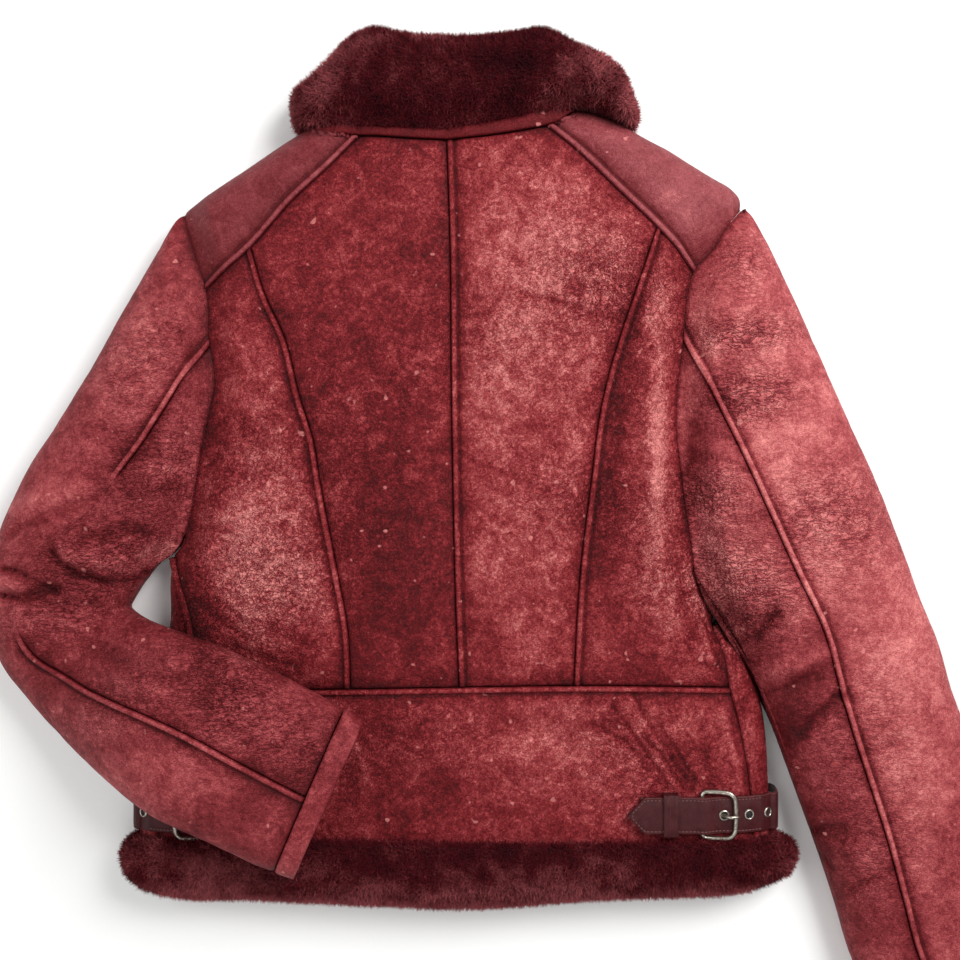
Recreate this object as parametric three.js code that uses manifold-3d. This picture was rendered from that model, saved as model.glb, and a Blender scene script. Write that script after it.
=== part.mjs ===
// Cropped shearling jacket, laid out on its front with its back up.
//
// Millimetres, +Z up. The jacket lies on the plane z = 0, its collar towards +Y.
// The origin is on the underside, under the centre back seam, 257 mm below the collar.
// Each cut piece is one closed solid: a wall of hide and pile between an outer face,
// whose height comes from bodyTop or outerTop below, and an inner face.
import * as THREE from 'three';
import { mergeVertices } from 'three/addons/utils/BufferGeometryUtils.js';
import Module from 'manifold-3d';

const wasm = await Module();
wasm.setup();

// Heights over the floor
const FRONT_WALL = 14;
const BACK_TOP = 41;
const WAIST_TOP = 36.5;
const HEM_TOP = 45;
const COLLAR_TOP = 56;
const ARMHOLE_TOP = 32;
const RIM_TOP = 15.5;
const RIM_LOW = 11.5;

// Rolls at the free edges, and the seams
const TOP_ROLL = 36;
const LOW_ROLL = 11;
const HEM_ROLL = 26;
const COLLAR_ROLL = 32;
const RIM_WIDTH = 15;
const GAP = 0.3;
const HALF_GAP = GAP / 2;
const LAP_WIDTH = 5;
const LAP_SLOPE = 0.8;
const LAP_RISE = 1.2;
const SEAM_DIP = 2.6;
const SEAM_REACH = 9;
const ARMHOLE_REACH = 24;

// Fronts, neck and sleeves
const FRONT_EDGE_X = 26;
const WAIST_Y = -152.5;
const HEM_SEAM_Y = -264.7;
const COLLAR_SLIT = 1.2;
const SLEEVE_WALL = 15;
const SLEEVE_HALF_GAP = 0.25;
const FRONT_SEAM_SHARE = 0.27;
const MOUTH_GAP = 15;
const MOUTH_DEPTH = 115;
const SHUT_GAP = 1;
const UNDER_CAMBER = 0.06;
const SIDE_WALL = 2;
const ROLL_SHARE = 0.42;
const MIDDLE_SHARE = 0.42;
const CALM_REACH = 22;

// Side straps
const STRAP_WIDTH = 27;
const STRAP_THICK = 3;
const TAB_THICK = 2.4;
const STRAP_Y = -245;
const STRAP_TIP_X = 126;
const STRAP_TIP = 13;
const PIVOT_X = 181.5;
const FAR_BAR_X = 205;
const HOLES_X = [197, 215.5];
const KEEPER_X = [152.5, 163.5];
const KEEPER_WALL = 1.8;
const MIRROR_X = 0.75;
const BAR = 3.4;
const BAR_SIDES = 8;
const PRONG_RADIUS = 1.25;
const EYELET_OUTER = 4;
const EYELET_HOLE = 2.3;
const EYELET_THICK = 0.9;

const HIDE = { color: 0x8a2f38, roughness: 0.62, metalness: 0 };
const DARK_HIDE = { color: 0x6e222c, roughness: 0.55, metalness: 0 };
const FLEECE = { color: 0x4a1119, roughness: 0.95, metalness: 0 };
const STRAP_HIDE = { color: 0x3a1c20, roughness: 0.5, metalness: 0 };
const NICKEL = { color: 0x9a9690, roughness: 0.35, metalness: 1 };

// Seams and edges seen from above, each a list of [x, y]
const LINES = {
  neck: [[-107, 259.5], [-92, 260.5], [-62.5, 258.5], [-25, 257], [-3, 257.5], [32, 262.5],
    [64, 269.5], [90, 273]],
  neckLow: [[-104, 255.5], [-91, 253.8], [-70, 252.6], [-5.5, 249.5], [32, 253], [68, 260], [88, 266.8]],
  shoulderLeft: [[-110, 262.5], [-118, 258], [-131.5, 249.5], [-153.5, 234.5], [-199.5, 203], [-204, 199.5]],
  shoulderRight: [[94, 276.5], [103, 274.5], [131, 262.5], [140.5, 257], [158.5, 247.5], [175, 237],
    [194, 225.5], [207.5, 217.5], [213.5, 211], [215.5, 203.5]],
  saddleLeft: [[-70, 252.3], [-90.5, 231.5], [-120, 204], [-149.5, 170.5], [-184, 141]],
  saddleRight: [[68, 259.7], [87.5, 244], [119, 214], [148.5, 185.7], [160, 173.5], [176.5, 153.5]],
  centreBack: [[-5.5, 249.5], [-3, 171.5], [-2, 60], [-1, 0], [1, -89], [3.5, WAIST_Y]],
  sideBackLeft: [[-149.5, 170.5], [-140, 138], [-124, 102.5], [-114.5, 64.5], [-104, 30.5], [-99, 0],
    [-86, -67.5], [-78.5, -112], [-77, -153.5]],
  sideBackRight: [[148.5, 185.7], [135, 145], [122, 107], [108, 55.5], [100.5, 0], [92.5, -67.5], [88, -151.5]],
  armholeLeft: [[-203.5, 199.5], [-192, 163.5], [-184, 141], [-181.5, 105], [-177.5, 71.5], [-181.5, 49.5],
    [-188.5, 15.5], [-196.5, -29.5], [-205, -51], [-212.5, -59]],
  armholeRight: [[215.5, 203.5], [202, 187.5], [191, 171], [176.5, 153.5], [172, 137], [169, 105], [165, 71.5],
    [163.5, 47], [167.5, 0], [174, -44.5], [179.5, -74.5], [188, -94.5], [195, -105.5]],
  waist: [[-198, -155.5], [-104.5, -154.5], [19, -152.5], [86, -151.5], [203, -152.8]],
  sideSeamLeft: [[-210, -62], [-201.5, -81.5], [-194.5, -104], [-192, -120], [-198, -155.5], [-207.5, -192.5],
    [-216, -227], [-218.5, -264.5]],
  sideSeamRight: [[193, -107], [199.5, -129.5], [203, -152.8], [210.5, -182.5], [218.5, -227], [220.5, -265.5]],
  sideLeft: [[-213.5, -60], [-213.5, -81.5], [-213.5, -104], [-216, -120], [-224, -155.5], [-230, -192.5],
    [-233.5, -227], [-236.5, -264.5]],
  sideRight: [[197, -108], [216, -129.5], [226, -152.8], [232, -182.5], [235, -227], [238, -265.5]],
  hemTop: [[-236.5, -264.5], [-218.5, -264.5], [-100, -265], [19, -268], [81.5, -268], [171, -266],
    [220.5, -265.5], [238, -265.5]],
  hemLow: [[-245, -292], [-232, -303], [-209.5, -308.5], [-145.5, -310.5], [-65.5, -314.5], [19, -317],
    [105.5, -310.5], [156, -308.5], [222, -303], [249, -292]],
  hemEnds: {
    left: [[-236.5, -264.5], [-248, -275], [-245, -292]],
    right: [[238, -265.5], [254.5, -275], [249, -292]],
  },
  frontNeck: [[-107, 254], [-84, 222], [-40, 196], [FRONT_EDGE_X, 184], [60, 196], [84, 226], [93, 268]],
};

// The collar: a row for each place along it, its neck edge first, then its free edge
const COLLAR_ROWS = [
  { neckX: -118, neckY: 262.5, topX: -121, topY: 279 },
  { neckX: -112, neckY: 264.5, topX: -119, topY: 287 },
  { neckX: -105, neckY: 261.5, topX: -108, topY: 297 },
  { neckX: -92, neckY: 261.5, topX: -92.5, topY: 311.5 },
  { neckX: -76, neckY: 260.3, topX: -76, topY: 328 },
  { neckX: -59, neckY: 259, topX: -59, topY: 334.5 },
  { neckX: -40, neckY: 258.3, topX: -40.5, topY: 330.5 },
  { neckX: -11, neckY: 258, topX: -11, topY: 328.5 },
  { neckX: 19, neckY: 261.4, topX: 19, topY: 328.5 },
  { neckX: 45, neckY: 266, topX: 48, topY: 332 },
  { neckX: 62, neckY: 269.7, topX: 67, topY: 334 },
  { neckX: 78, neckY: 272.8, topX: 89, topY: 323 },
  { neckX: 92, neckY: 278, topX: 114, topY: 311.5 },
  { neckX: 106, neckY: 276.3, topX: 124, topY: 303 },
  { neckX: 122, neckY: 270, topX: 130.5, topY: 288 },
  { neckX: 134, neckY: 264, topX: 136, topY: 272 },
];

// Sleeves: a row for each cross section, from the shoulder to the cuff. o is the outer edge, i the
// inner edge, seam the back seam's distance from the inner edge, high the sleeve's own height, and
// lowO and lowI the underside's height at each edge. Rows inside the body are cut off at the armhole.
const SLEEVE_COLUMNS = ['ox', 'oy', 'ix', 'iy', 'seam', 'high', 'lowO', 'lowI'];
const RIGHT_SLEEVE = [
  [208, 216, 73, 162, 60, 36, 0, 0],
  [228, 187, 93, 133, 57, 40, 0, 0],
  [246, 149, 111, 95, 56, 45, 0, 0],
  [267.5, 102, 131, 46, 58, 48, 0, 0],
  [292, 45.5, 153, -12, 63.5, 50, 0, 0],
  [307.5, 11, 168, -50, 65.3, 51, 0, 0],
  [326.5, -35.5, 188, -94, 65, 52, 0, 0],
  [342.5, -79, 213, -127, 57, 51, 0, 0],
  [360, -122, 231.5, -168, 50.5, 50, 0, 0],
  [370, -156.5, 244, -201, 48, 49, 0, 0],
  [382, -188.5, 256, -234, 47, 48, 0, 0],
  [397, -228.5, 271, -275, 45.5, 47, 0, 0],
  [413.5, -275.5, 285.5, -318.5, 43, 46, 0, 0],
  [428.5, -317, 299, -361.5, 42, 44, 0, 0],
  [441.5, -356, 320, -402, 41, 42, 0, 0],
  [449, -379, 333, -422, 40, 40, 0, 0],
  [453, -391.5, 338.5, -434.5, 39, 39, 0, 0],
];
const LEFT_SLEEVE = [
  [-194, 213, -92, 153, 48, 36, 0, 0],
  [-212, 187, -108, 126, 47.5, 40, 0, 0],
  [-230, 156, -127, 95, 47, 44, 0, 0],
  [-248, 125, -145, 63, 49.6, 47, 0, 0],
  [-270, 84, -167, 21, 52.5, 49, 0, 0],
  [-295.5, 41.5, -188, -20, 58.5, 50, 0, 0],
  [-321.5, 0, -210, -54, 64, 50, 0, 0],
  [-338.5, -38.5, -222, -63, 73, 50, 0, 0],
  [-346, -70.5, -233, -77, 79, 50, 0, 0],
  [-346, -104.5, -241, -90, 77, 50, 0, 0],
  [-337, -137, -243, -94.5, 71, 48, 0, 2],
  [-315, -164.5, -238, -97.5, 62, 47, 2, 9],
  [-290.5, -187.5, -223, -101.5, 60, 46, 10, 27],
  [-259, -209.5, -200, -107, 58.5, 45, 27, 42.5],
  [-216.5, -236, -165, -119, 58.5, 44, 43, 45.5],
  [-172, -256, -128, -136.5, 61, 43, 46.5, 45.5],
  [-126.5, -276.5, -78, -163.5, 60.5, 41, 47, 44.5],
  [-113, -281.5, -64, -171.5, 59.5, 40, 47, 44],
];
const CUFF_ROWS = 2;

// Below these heights y the armhole's valley no longer pulls a sleeve down
const FREE_BELOW = { left: -70, right: -120 };

// How many points of a sleeve section lie on the first of its two paths
const [TOP_PATH, UNDER_PATH, BAND_PATH, HOLLOW_PATH] = [14, 11, 11, 7];

// Large folds, each a soft ridge (rise above 0) or trough along a short line
const FOLD_COLUMNS = ['x1', 'y1', 'x2', 'y2', 'reach', 'rise'];
const BODY_FOLDS = [
  [-190, -10, -120, -60, 16, 2.2],
  [-175, 20, -130, 0, 9, -1.6],
  [170, 20, 120, -30, 16, 2.2],
  [150, 60, 120, 85, 10, -1.8],
  [-110, 60, -150, -20, 14, 1.8],
  [-60, -40, -20, -110, 22, 1.6],
  [70, 70, 40, -20, 24, 1.8],
  [-150, -190, 60, -205, 14, 1.6],
  [40, -185, 180, -215, 12, -1.4],
];
const LEFT_FOLDS = [
  [-300, -57, -216, -52, 9, 4.5],
  [-282, -38, -216, -40, 5, -4.5],
  [-290, -66, -226, -72, 4.5, -5],
  [-340, -40, -262, -14, 7, 3.5],
  [-345, -62, -292, -72, 6, 3],
  [-345, -82, -290, -84, 4, -4],
  [-215, 30, -250, 30, 12, -2],
  [-250, -125, -190, -140, 7, -2],
  [-200, -165, -150, -185, 10, 1.5],
];
const RIGHT_FOLDS = [
  [216, -118, 234, -98, 5, -4],
  [226, -146, 268, -124, 6, 3.5],
  [230, -158, 262, -142, 4, -3.5],
  [250, -188, 280, -158, 6, -3],
  [258, -262, 302, -258, 5, -2.5],
  [180, 105, 215, 135, 8, -2],
  [262, 20, 300, 30, 14, -1.6],
  [330, -180, 345, -240, 16, 1.6],
];

function named(columns, rows) {
  return rows.map((row) => Object.fromEntries(columns.map((name, k) => [name, row[k]])));
}

function clamp(value, low, high) {
  return Math.min(high, Math.max(low, value));
}

function ease(t) {
  const c = clamp(t, 0, 1);
  return c * c * (3 - 2 * c);
}

// A quarter round: 0 at the edge, 1 from `reach` inwards
function roll(distance, reach) {
  const k = 1 - clamp(distance / reach, 0, 1);
  return Math.sqrt(1 - k * k);
}

function mix(a, b, t) {
  return a + (b - a) * t;
}

function mixPoint(a, b, t) {
  return [mix(a[0], b[0], t), mix(a[1], b[1], t)];
}

function span(a, b) {
  return Math.hypot(b[0] - a[0], b[1] - a[1]);
}

function toSegment(x, y, a, b) {
  const dx = b[0] - a[0];
  const dy = b[1] - a[1];
  const t = clamp(((x - a[0]) * dx + (y - a[1]) * dy) / (dx * dx + dy * dy), 0, 1);
  return Math.hypot(x - a[0] - t * dx, y - a[1] - t * dy);
}

function toLine(x, y, line) {
  let best = Infinity;
  for (let k = 1; k < line.length; k += 1) best = Math.min(best, toSegment(x, y, line[k - 1], line[k]));
  return best;
}

function toLines(x, y, lines) {
  return Math.min(...lines.map((line) => toLine(x, y, line)));
}

// The point of a line at one height y, and the height of a line at one x
function atY(line, y) {
  for (let k = 1; k < line.length; k += 1) {
    const [a, b] = [line[k - 1], line[k]];
    if ((a[1] - y) * (b[1] - y) <= 0 && a[1] !== b[1]) return mixPoint(a, b, (y - a[1]) / (b[1] - a[1]));
  }
  const [first, last] = [line[0], line[line.length - 1]];
  return [Math.abs(first[1] - y) < Math.abs(last[1] - y) ? first[0] : last[0], y];
}

function atX(line, x) {
  for (let k = 1; k < line.length; k += 1) {
    const [a, b] = [line[k - 1], line[k]];
    if ((a[0] - x) * (b[0] - x) <= 0 && a[0] !== b[0]) return mix(a[1], b[1], (x - a[0]) / (b[0] - a[0]));
  }
  return x < line[0][0] ? line[0][1] : line[line.length - 1][1];
}

function along(line, share) {
  const steps = line.slice(1).map((point, k) => span(line[k], point));
  let left = share * steps.reduce((sum, step) => sum + step, 0);
  for (let k = 0; k < steps.length; k += 1) {
    const last = k === steps.length - 1;
    if (left <= steps[k] || last) return mixPoint(line[k], line[k + 1], clamp(left / steps[k], 0, 1));
    left -= steps[k];
  }
  return line[0];
}

// The share of a line's length at each of its points
function knots(line) {
  let travelled = 0;
  const lengths = line.map((point, k) => {
    if (k > 0) travelled += span(line[k - 1], point);
    return travelled;
  });
  return lengths.map((length) => length / travelled);
}

function foldRise(folds, x, y) {
  return folds.reduce((sum, { x1, y1, x2, y2, reach, rise }) => {
    const d = toSegment(x, y, [x1, y1], [x2, y2]) / reach;
    return sum + rise * Math.exp(-d * d);
  }, 0);
}

const folds = {
  body: named(FOLD_COLUMNS, BODY_FOLDS),
  left: named(FOLD_COLUMNS, LEFT_FOLDS),
  right: named(FOLD_COLUMNS, RIGHT_FOLDS),
};
const OUTLINE = [LINES.shoulderLeft, LINES.shoulderRight, LINES.sideLeft, LINES.sideRight];
const ARMHOLES = [LINES.armholeLeft, LINES.armholeRight];
const BACK_SEAMS = [LINES.centreBack, LINES.sideBackLeft, LINES.sideBackRight, LINES.saddleLeft,
  LINES.saddleRight, LINES.waist];

// The armhole seam lies in a valley, deepest at the shoulder tip and the underarm
function armholeTop(x, y) {
  return RIM_TOP + (ARMHOLE_TOP - RIM_TOP) * roll(toLines(x, y, OUTLINE), 2 * TOP_ROLL);
}

function bodyTop(x, y) {
  const full = mix(WAIST_TOP, BACK_TOP, ease((y - WAIST_Y) / 110));
  const edge = toLines(x, y, OUTLINE);
  const dip = SEAM_DIP * Math.exp(-((toLines(x, y, BACK_SEAMS) / SEAM_REACH) ** 2));
  const inner = ease(edge / TOP_ROLL);
  const free = RIM_TOP + (full - RIM_TOP) * roll(edge, TOP_ROLL) + (foldRise(folds.body, x, y) - dip) * inner;
  return mix(armholeTop(x, y), free, ease(toLines(x, y, ARMHOLES) / ARMHOLE_REACH));
}

function underRim(distance) {
  return RIM_LOW * (1 - roll(distance, LOW_ROLL));
}

function solid(positions, indices) {
  const geometry = new THREE.BufferGeometry();
  geometry.setAttribute('position', new THREE.Float32BufferAttribute(positions, 3));
  geometry.setIndex(indices);
  const merged = mergeVertices(geometry, 1e-4);
  const index = Array.from(merged.getIndex().array);
  const kept = [];
  for (let k = 0; k < index.length; k += 3) {
    const [a, b, c] = index.slice(k, k + 3);
    if (a !== b && b !== c && a !== c) kept.push(a, b, c);
  }
  merged.setIndex(kept);
  return merged;
}

// A wall over a grid of plan points. rows[i][j] is [x, y]; top and low give its two faces' heights.
function slab(rows, top, low) {
  const positions = [];
  const indices = [];
  const [n, m] = [rows.length, rows[0].length];
  for (const face of [top, low]) {
    rows.forEach((row, i) => row.forEach(([x, y], j) => positions.push(x, y, face(x, y, i, j))));
  }
  const at = (side, i, j) => side * n * m + i * m + j;
  const [p, q, r] = [rows[0][0], rows[0][m - 1], rows[n - 1][0]];
  const turned = (q[0] - p[0]) * (r[1] - p[1]) - (q[1] - p[1]) * (r[0] - p[0]) < 0;
  const quad = (a, b, c, d) => (turned ? indices.push(a, c, b, a, d, c) : indices.push(a, b, c, a, c, d));
  for (let i = 0; i + 1 < n; i += 1) {
    for (let j = 0; j + 1 < m; j += 1) {
      quad(at(0, i, j), at(0, i, j + 1), at(0, i + 1, j + 1), at(0, i + 1, j));
      quad(at(1, i, j), at(1, i + 1, j), at(1, i + 1, j + 1), at(1, i, j + 1));
    }
    quad(at(1, i, 0), at(0, i, 0), at(0, i + 1, 0), at(1, i + 1, 0));
    quad(at(0, i, m - 1), at(1, i, m - 1), at(1, i + 1, m - 1), at(0, i + 1, m - 1));
  }
  for (let j = 0; j + 1 < m; j += 1) {
    quad(at(0, 0, j), at(1, 0, j), at(1, 0, j + 1), at(0, 0, j + 1));
    quad(at(1, n - 1, j), at(0, n - 1, j), at(0, n - 1, j + 1), at(1, n - 1, j + 1));
  }
  return solid(positions, indices);
}

// A solid through rings of equal length, joined end to end or closed at both ends. A ring goes out
// along one path of `first` points and back along another, and an end is the strip between them.
function loft(rings, first, joined = false) {
  const count = rings[0].length;
  const positions = rings.flat().flat();
  const indices = [];
  const last = joined ? rings.length : rings.length - 1;
  for (let i = 0; i < last; i += 1) {
    const next = (i + 1) % rings.length;
    for (let j = 0; j < count; j += 1) {
      const k = (j + 1) % count;
      const [a, b, c, d] = [i * count + j, i * count + k, next * count + k, next * count + j];
      indices.push(a, c, b, a, d, c);
    }
  }
  if (!joined) {
    indices.push(...endStrip(rings[0], first, 0, false));
    indices.push(...endStrip(rings[rings.length - 1], first, (rings.length - 1) * count, true));
  }
  return solid(positions, indices);
}

function endStrip(ring, first, offset, turned) {
  const indices = [];
  const distance = (a, b) => Math.hypot(...ring[a].map((value, k) => value - ring[b][k]));
  let [a, b] = [0, ring.length - 1];
  while (a < first - 1 || b > first) {
    const stepA = b === first || (a < first - 1 && distance(a + 1, b) < distance(a, b - 1));
    const corner = stepA ? a + 1 : b - 1;
    indices.push(offset + a, offset + (turned ? b : corner), offset + (turned ? corner : b));
    if (stepA) a += 1;
    else b -= 1;
  }
  return indices;
}

// The volume's sign tells which way a closed shape's faces point
function faceOut(geometry) {
  const p = geometry.getAttribute('position');
  const index = Array.from(geometry.getIndex().array);
  const [a, b, c] = [new THREE.Vector3(), new THREE.Vector3(), new THREE.Vector3()];
  let volume = 0;
  for (let k = 0; k < index.length; k += 3) {
    a.fromBufferAttribute(p, index[k]);
    b.fromBufferAttribute(p, index[k + 1]);
    c.fromBufferAttribute(p, index[k + 2]);
    volume += a.dot(b.cross(c));
  }
  if (volume < 0) {
    for (let k = 0; k < index.length; k += 3) [index[k + 1], index[k + 2]] = [index[k + 2], index[k + 1]];
    geometry.setIndex(index);
  }
  return geometry;
}

function toManifold(geometry) {
  return new wasm.Manifold(new wasm.Mesh({
    numProp: 3,
    vertProperties: new Float32Array(geometry.getAttribute('position').array),
    triVerts: new Uint32Array(geometry.getIndex().array),
  }));
}

function fromManifold(body) {
  const mesh = body.getMesh();
  return solid(Array.from(mesh.vertProperties), Array.from(mesh.triVerts));
}

function prism(outline, low, high) {
  const shape = new THREE.Shape(outline.map(([x, y]) => new THREE.Vector2(x, y)));
  const geometry = new THREE.ExtrudeGeometry(shape, { depth: high - low, bevelEnabled: false });
  geometry.translate(0, 0, low);
  geometry.deleteAttribute('normal');
  geometry.deleteAttribute('uv');
  return faceOut(mergeVertices(geometry, 1e-4));
}

// A line moved sideways by `distance`, to the left of its direction
function shifted(line, distance) {
  return line.map((point, k) => {
    const a = line[Math.max(k - 1, 0)];
    const b = line[Math.min(k + 1, line.length - 1)];
    const length = span(a, b);
    return [point[0] - ((b[1] - a[1]) / length) * distance, point[1] + ((b[0] - a[0]) / length) * distance];
  });
}

// Shares of a width for fixed distances from both ends and `middle` even steps between them
function shares(width, fromStart, middle, fromEnd) {
  const start = fromStart.map((d) => d / width);
  const end = fromEnd.map((d) => 1 - d / width);
  const [a, b] = [start[start.length - 1], end[0]];
  const inner = Array.from({ length: middle }, (_, k) => mix(a, b, (k + 1) / (middle + 1)));
  return [...start, ...inner, ...end];
}

const LAP_STEPS = [HALF_GAP, LAP_WIDTH, LAP_WIDTH + LAP_SLOPE];

function lapLift(column) {
  return column < 2 ? LAP_RISE : 0;
}

const backLow = () => FRONT_WALL + HALF_GAP;
const frontHigh = () => FRONT_WALL - HALF_GAP;

// A point moved down to the lower edge of the neck piping
function underPiping([x, y]) {
  return [x, Math.min(y, atX(LINES.neckLow, x) - 2 * GAP)];
}

// Centre back panels, between the centre seam and the saddle and side back seams
function backCentre(side) {
  const outer = side === 'left'
    ? [...LINES.saddleLeft.slice(0, 4), ...LINES.sideBackLeft.slice(1)]
    : [...LINES.saddleRight.slice(0, 4), ...LINES.sideBackRight.slice(1)];
  const [neckPoint, waistPoint] = [LINES.centreBack[0], LINES.centreBack[LINES.centreBack.length - 1]];
  const rows = outer.map((point, k) => {
    const last = k === outer.length - 1;
    const middle = last ? waistPoint : atY(LINES.centreBack, k === 0 ? neckPoint[1] - 0.5 : point[1]);
    const start = [point[0], point[1] + (last ? HALF_GAP : k === 0 ? -HALF_GAP : 0)];
    const end = [middle[0], middle[1] + (last ? HALF_GAP : 0)];
    const lap = side === 'right' ? [...LAP_STEPS].reverse() : [HALF_GAP];
    return shares(span(start, end), [HALF_GAP * 1.3, 8, 24], 2, [24, 8, ...lap])
      .map((u) => mixPoint(start, end, u))
      .map((spot) => (k === 0 ? underPiping(spot) : spot));
  });
  const count = rows[0].length;
  const lift = (j) => (side === 'right' ? lapLift(count - 1 - j) : 0);
  return slab(rows, (x, y, i, j) => bodyTop(x, y) + lift(j), backLow);
}

// Side back panels, from the armhole and side seam to the side back seam
function backSide(side) {
  const left = side === 'left';
  const armhole = left ? LINES.armholeLeft : LINES.armholeRight;
  const seam = left ? LINES.sideSeamLeft : LINES.sideSeamRight;
  const first = left ? 2 : 3;
  const outer = [...armhole.slice(first, -1), ...seam.slice(left ? 0 : 1).filter(([, y]) => y > WAIST_Y - 1)];
  if (left) outer.push(atY(seam, -155.5));
  const inner = left ? LINES.sideBackLeft : LINES.sideBackRight;
  const stops = [...new Set([...knots(outer), ...knots(inner)])].sort((p, q) => p - q);
  const rows = stops.filter((t, k) => k === 0 || t - stops[k - 1] > 1e-6).map((t) => {
    const drop = t === 1 ? HALF_GAP : t === 0 ? -HALF_GAP * 2 : 0;
    const start = along(outer, t);
    const end = along(inner, t);
    start[1] += drop;
    end[1] += drop;
    return shares(span(start, end), [HALF_GAP * 1.3, 5, 14], 2, [LAP_WIDTH + LAP_SLOPE, LAP_WIDTH, HALF_GAP])
      .map((u) => mixPoint(start, end, u));
  });
  const count = rows[0].length;
  return slab(rows, (x, y, i, j) => bodyTop(x, y) + lapLift(count - 1 - j), backLow);
}

// Saddle shoulders: over the shoulder line, whose roll reaches down to the floor
function saddle(side) {
  const left = side === 'left';
  const shoulder = left ? LINES.shoulderLeft : LINES.shoulderRight;
  const seam = left ? LINES.saddleLeft : LINES.saddleRight;
  const armhole = left ? LINES.armholeLeft : LINES.armholeRight;
  const armEnd = armhole.slice(0, left ? 3 : 4);
  const stops = knots(seam).flatMap((t, k, all) => (k === 0 ? [t] : [mix(all[k - 1], t, 0.5), t]));
  const rows = stops.map((t) => {
    const a = along(shoulder, t);
    const b = along(seam, t);
    const bow = ease((t - 0.7) / 0.3);
    const start = t === 0 ? [a[0] + (left ? 1 : -1.5), a[1]] : a;
    const fromShoulder = [0, 2, 5, 10, RIM_WIDTH, RIM_WIDTH + 0.2, 28];
    return shares(span(start, b), fromShoulder, 1, [LAP_WIDTH + LAP_SLOPE, LAP_WIDTH, HALF_GAP * 1.4])
      .map((u) => {
        const straight = mixPoint(start, b, u);
        const curved = along(armEnd, u);
        const chord = mixPoint(armEnd[0], armEnd[armEnd.length - 1], u);
        const pull = t === 1 ? -HALF_GAP * (left ? -1 : 1) : 0;
        const bowed = curved.map((value, axis) => (value - chord[axis]) * bow);
        const spot = [straight[0] + bowed[0] + pull, straight[1] + bowed[1]];
        return t === 0 ? underPiping(spot) : spot;
      });
  });
  const count = rows[0].length;
  return slab(
    rows,
    (x, y, i, j) => bodyTop(x, y) + (j > 0 ? lapLift(count - 1 - j) : 0),
    (x, y, i, j) => (j <= 4 ? underRim(toLine(x, y, shoulder)) : backLow()),
  );
}

// Waist panel, from side seam to side seam
function waistPanel() {
  const xs = [[-198, -218.5], [-172, -184], [-140, -142], [-104.5, -100], [-65, -60], [-25, -20], [19, 19],
    [52, 50], [86, 81.5], [128, 128], [168, 171], [203, 220.5]];
  const seams = { 0: [LINES.sideSeamLeft, 1], [xs.length - 1]: [LINES.sideSeamRight, -1] };
  const rows = xs.map(([xTop, xLow], k) => {
    const start = [xTop, atX(LINES.waist, xTop) - HALF_GAP];
    const end = [xLow, atX(LINES.hemTop, xLow) + HALF_GAP];
    return shares(span(start, end), [0, LAP_WIDTH, LAP_WIDTH + LAP_SLOPE, 30], 2, [20, 0]).map((u) => {
      const point = mixPoint(start, end, u);
      if (!(k in seams)) return point;
      const [line, sign] = seams[k];
      return [atY(line, point[1])[0] + sign * HALF_GAP, point[1]];
    });
  });
  return slab(rows, (x, y, i, j) => bodyTop(x, y) + lapLift(j), backLow);
}

// Front panels: the lower layer, turned up round the side as far as the side seam
function front(side) {
  const left = side === 'left';
  const sign = left ? -1 : 1;
  const closure = FRONT_EDGE_X + sign * HALF_GAP;
  const shoulder = left ? LINES.shoulderLeft : LINES.shoulderRight;
  const armhole = left ? LINES.armholeLeft : LINES.armholeRight;
  const seam = left ? LINES.sideSeamLeft : LINES.sideSeamRight;
  const edge = left ? LINES.sideLeft : LINES.sideRight;
  const neck = left ? LINES.frontNeck.slice(0, 4) : LINES.frontNeck.slice(3);
  const inset = RIM_WIDTH + 1.2;
  const shoulderInner = shoulder.map(([x, y]) => [x - sign * inset * 0.5, y - inset * 0.86]);
  const upper = left ? [237, 222, 209, 196, 184, 163.5, 141, 105, 71.5, 49.5, 15.5, -29.5, -51]
    : [246, 226, 211, 196, 184, 171, 153.5, 137, 105, 71.5, 47, 0, -44.5, -74.5, -94.5];
  const tip = armhole[0][1] - inset * 1.3;
  const rows = [];
  for (const y of upper) {
    const clear = GAP + 12 * clamp((y - tip) / RIM_WIDTH, 0, 1);
    const atArmhole = y > armhole[0][1] ? Infinity : Math.abs(atY(armhole, y)[0]) - clear;
    const outer = sign * Math.min(atArmhole, y > tip ? Math.abs(atY(shoulderInner, y)[0]) : Infinity);
    const inner = y > LINES.frontNeck[3][1] ? atY(neck, y)[0] : closure;
    const u = shares(Math.abs(outer - inner), [0], 1, [15, 14.8, 11, 7, 3, 0]);
    rows.push({ y, rim: false, xs: u.map((t) => mix(inner, outer, t)) });
  }
  const lowest = HEM_SEAM_Y + GAP;
  const start = left ? -63 : -108.5;
  const ys = [start, start - 0.3, ...edge.map(([, y]) => y).filter((y) => y < start - 6 && y > lowest), lowest];
  ys.forEach((y, k) => {
    const outer = atY(edge, y)[0];
    const seamX = sign * Math.min(Math.abs(atY(seam, y)[0]), Math.abs(outer) - 2);
    const xs = [closure, mix(closure, seamX, 0.5), seamX + sign * (HALF_GAP - 0.1), seamX + sign * HALF_GAP];
    for (const t of [0.25, 0.5, 0.8, 1]) xs.push(mix(seamX + sign * HALF_GAP, outer, t));
    rows.push({ y, rim: k > 0, xs });
  });
  const points = rows.map(({ y, xs }) => xs.map((x) => [x, y]));
  return slab(
    points,
    (x, y, i, j) => (rows[i].rim && j > 2 ? bodyTop(x, y) : frontHigh()),
    (x, y, i, j) => (rows[i].rim ? underRim(toLine(x, y, edge)) : 0),
  );
}

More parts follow.
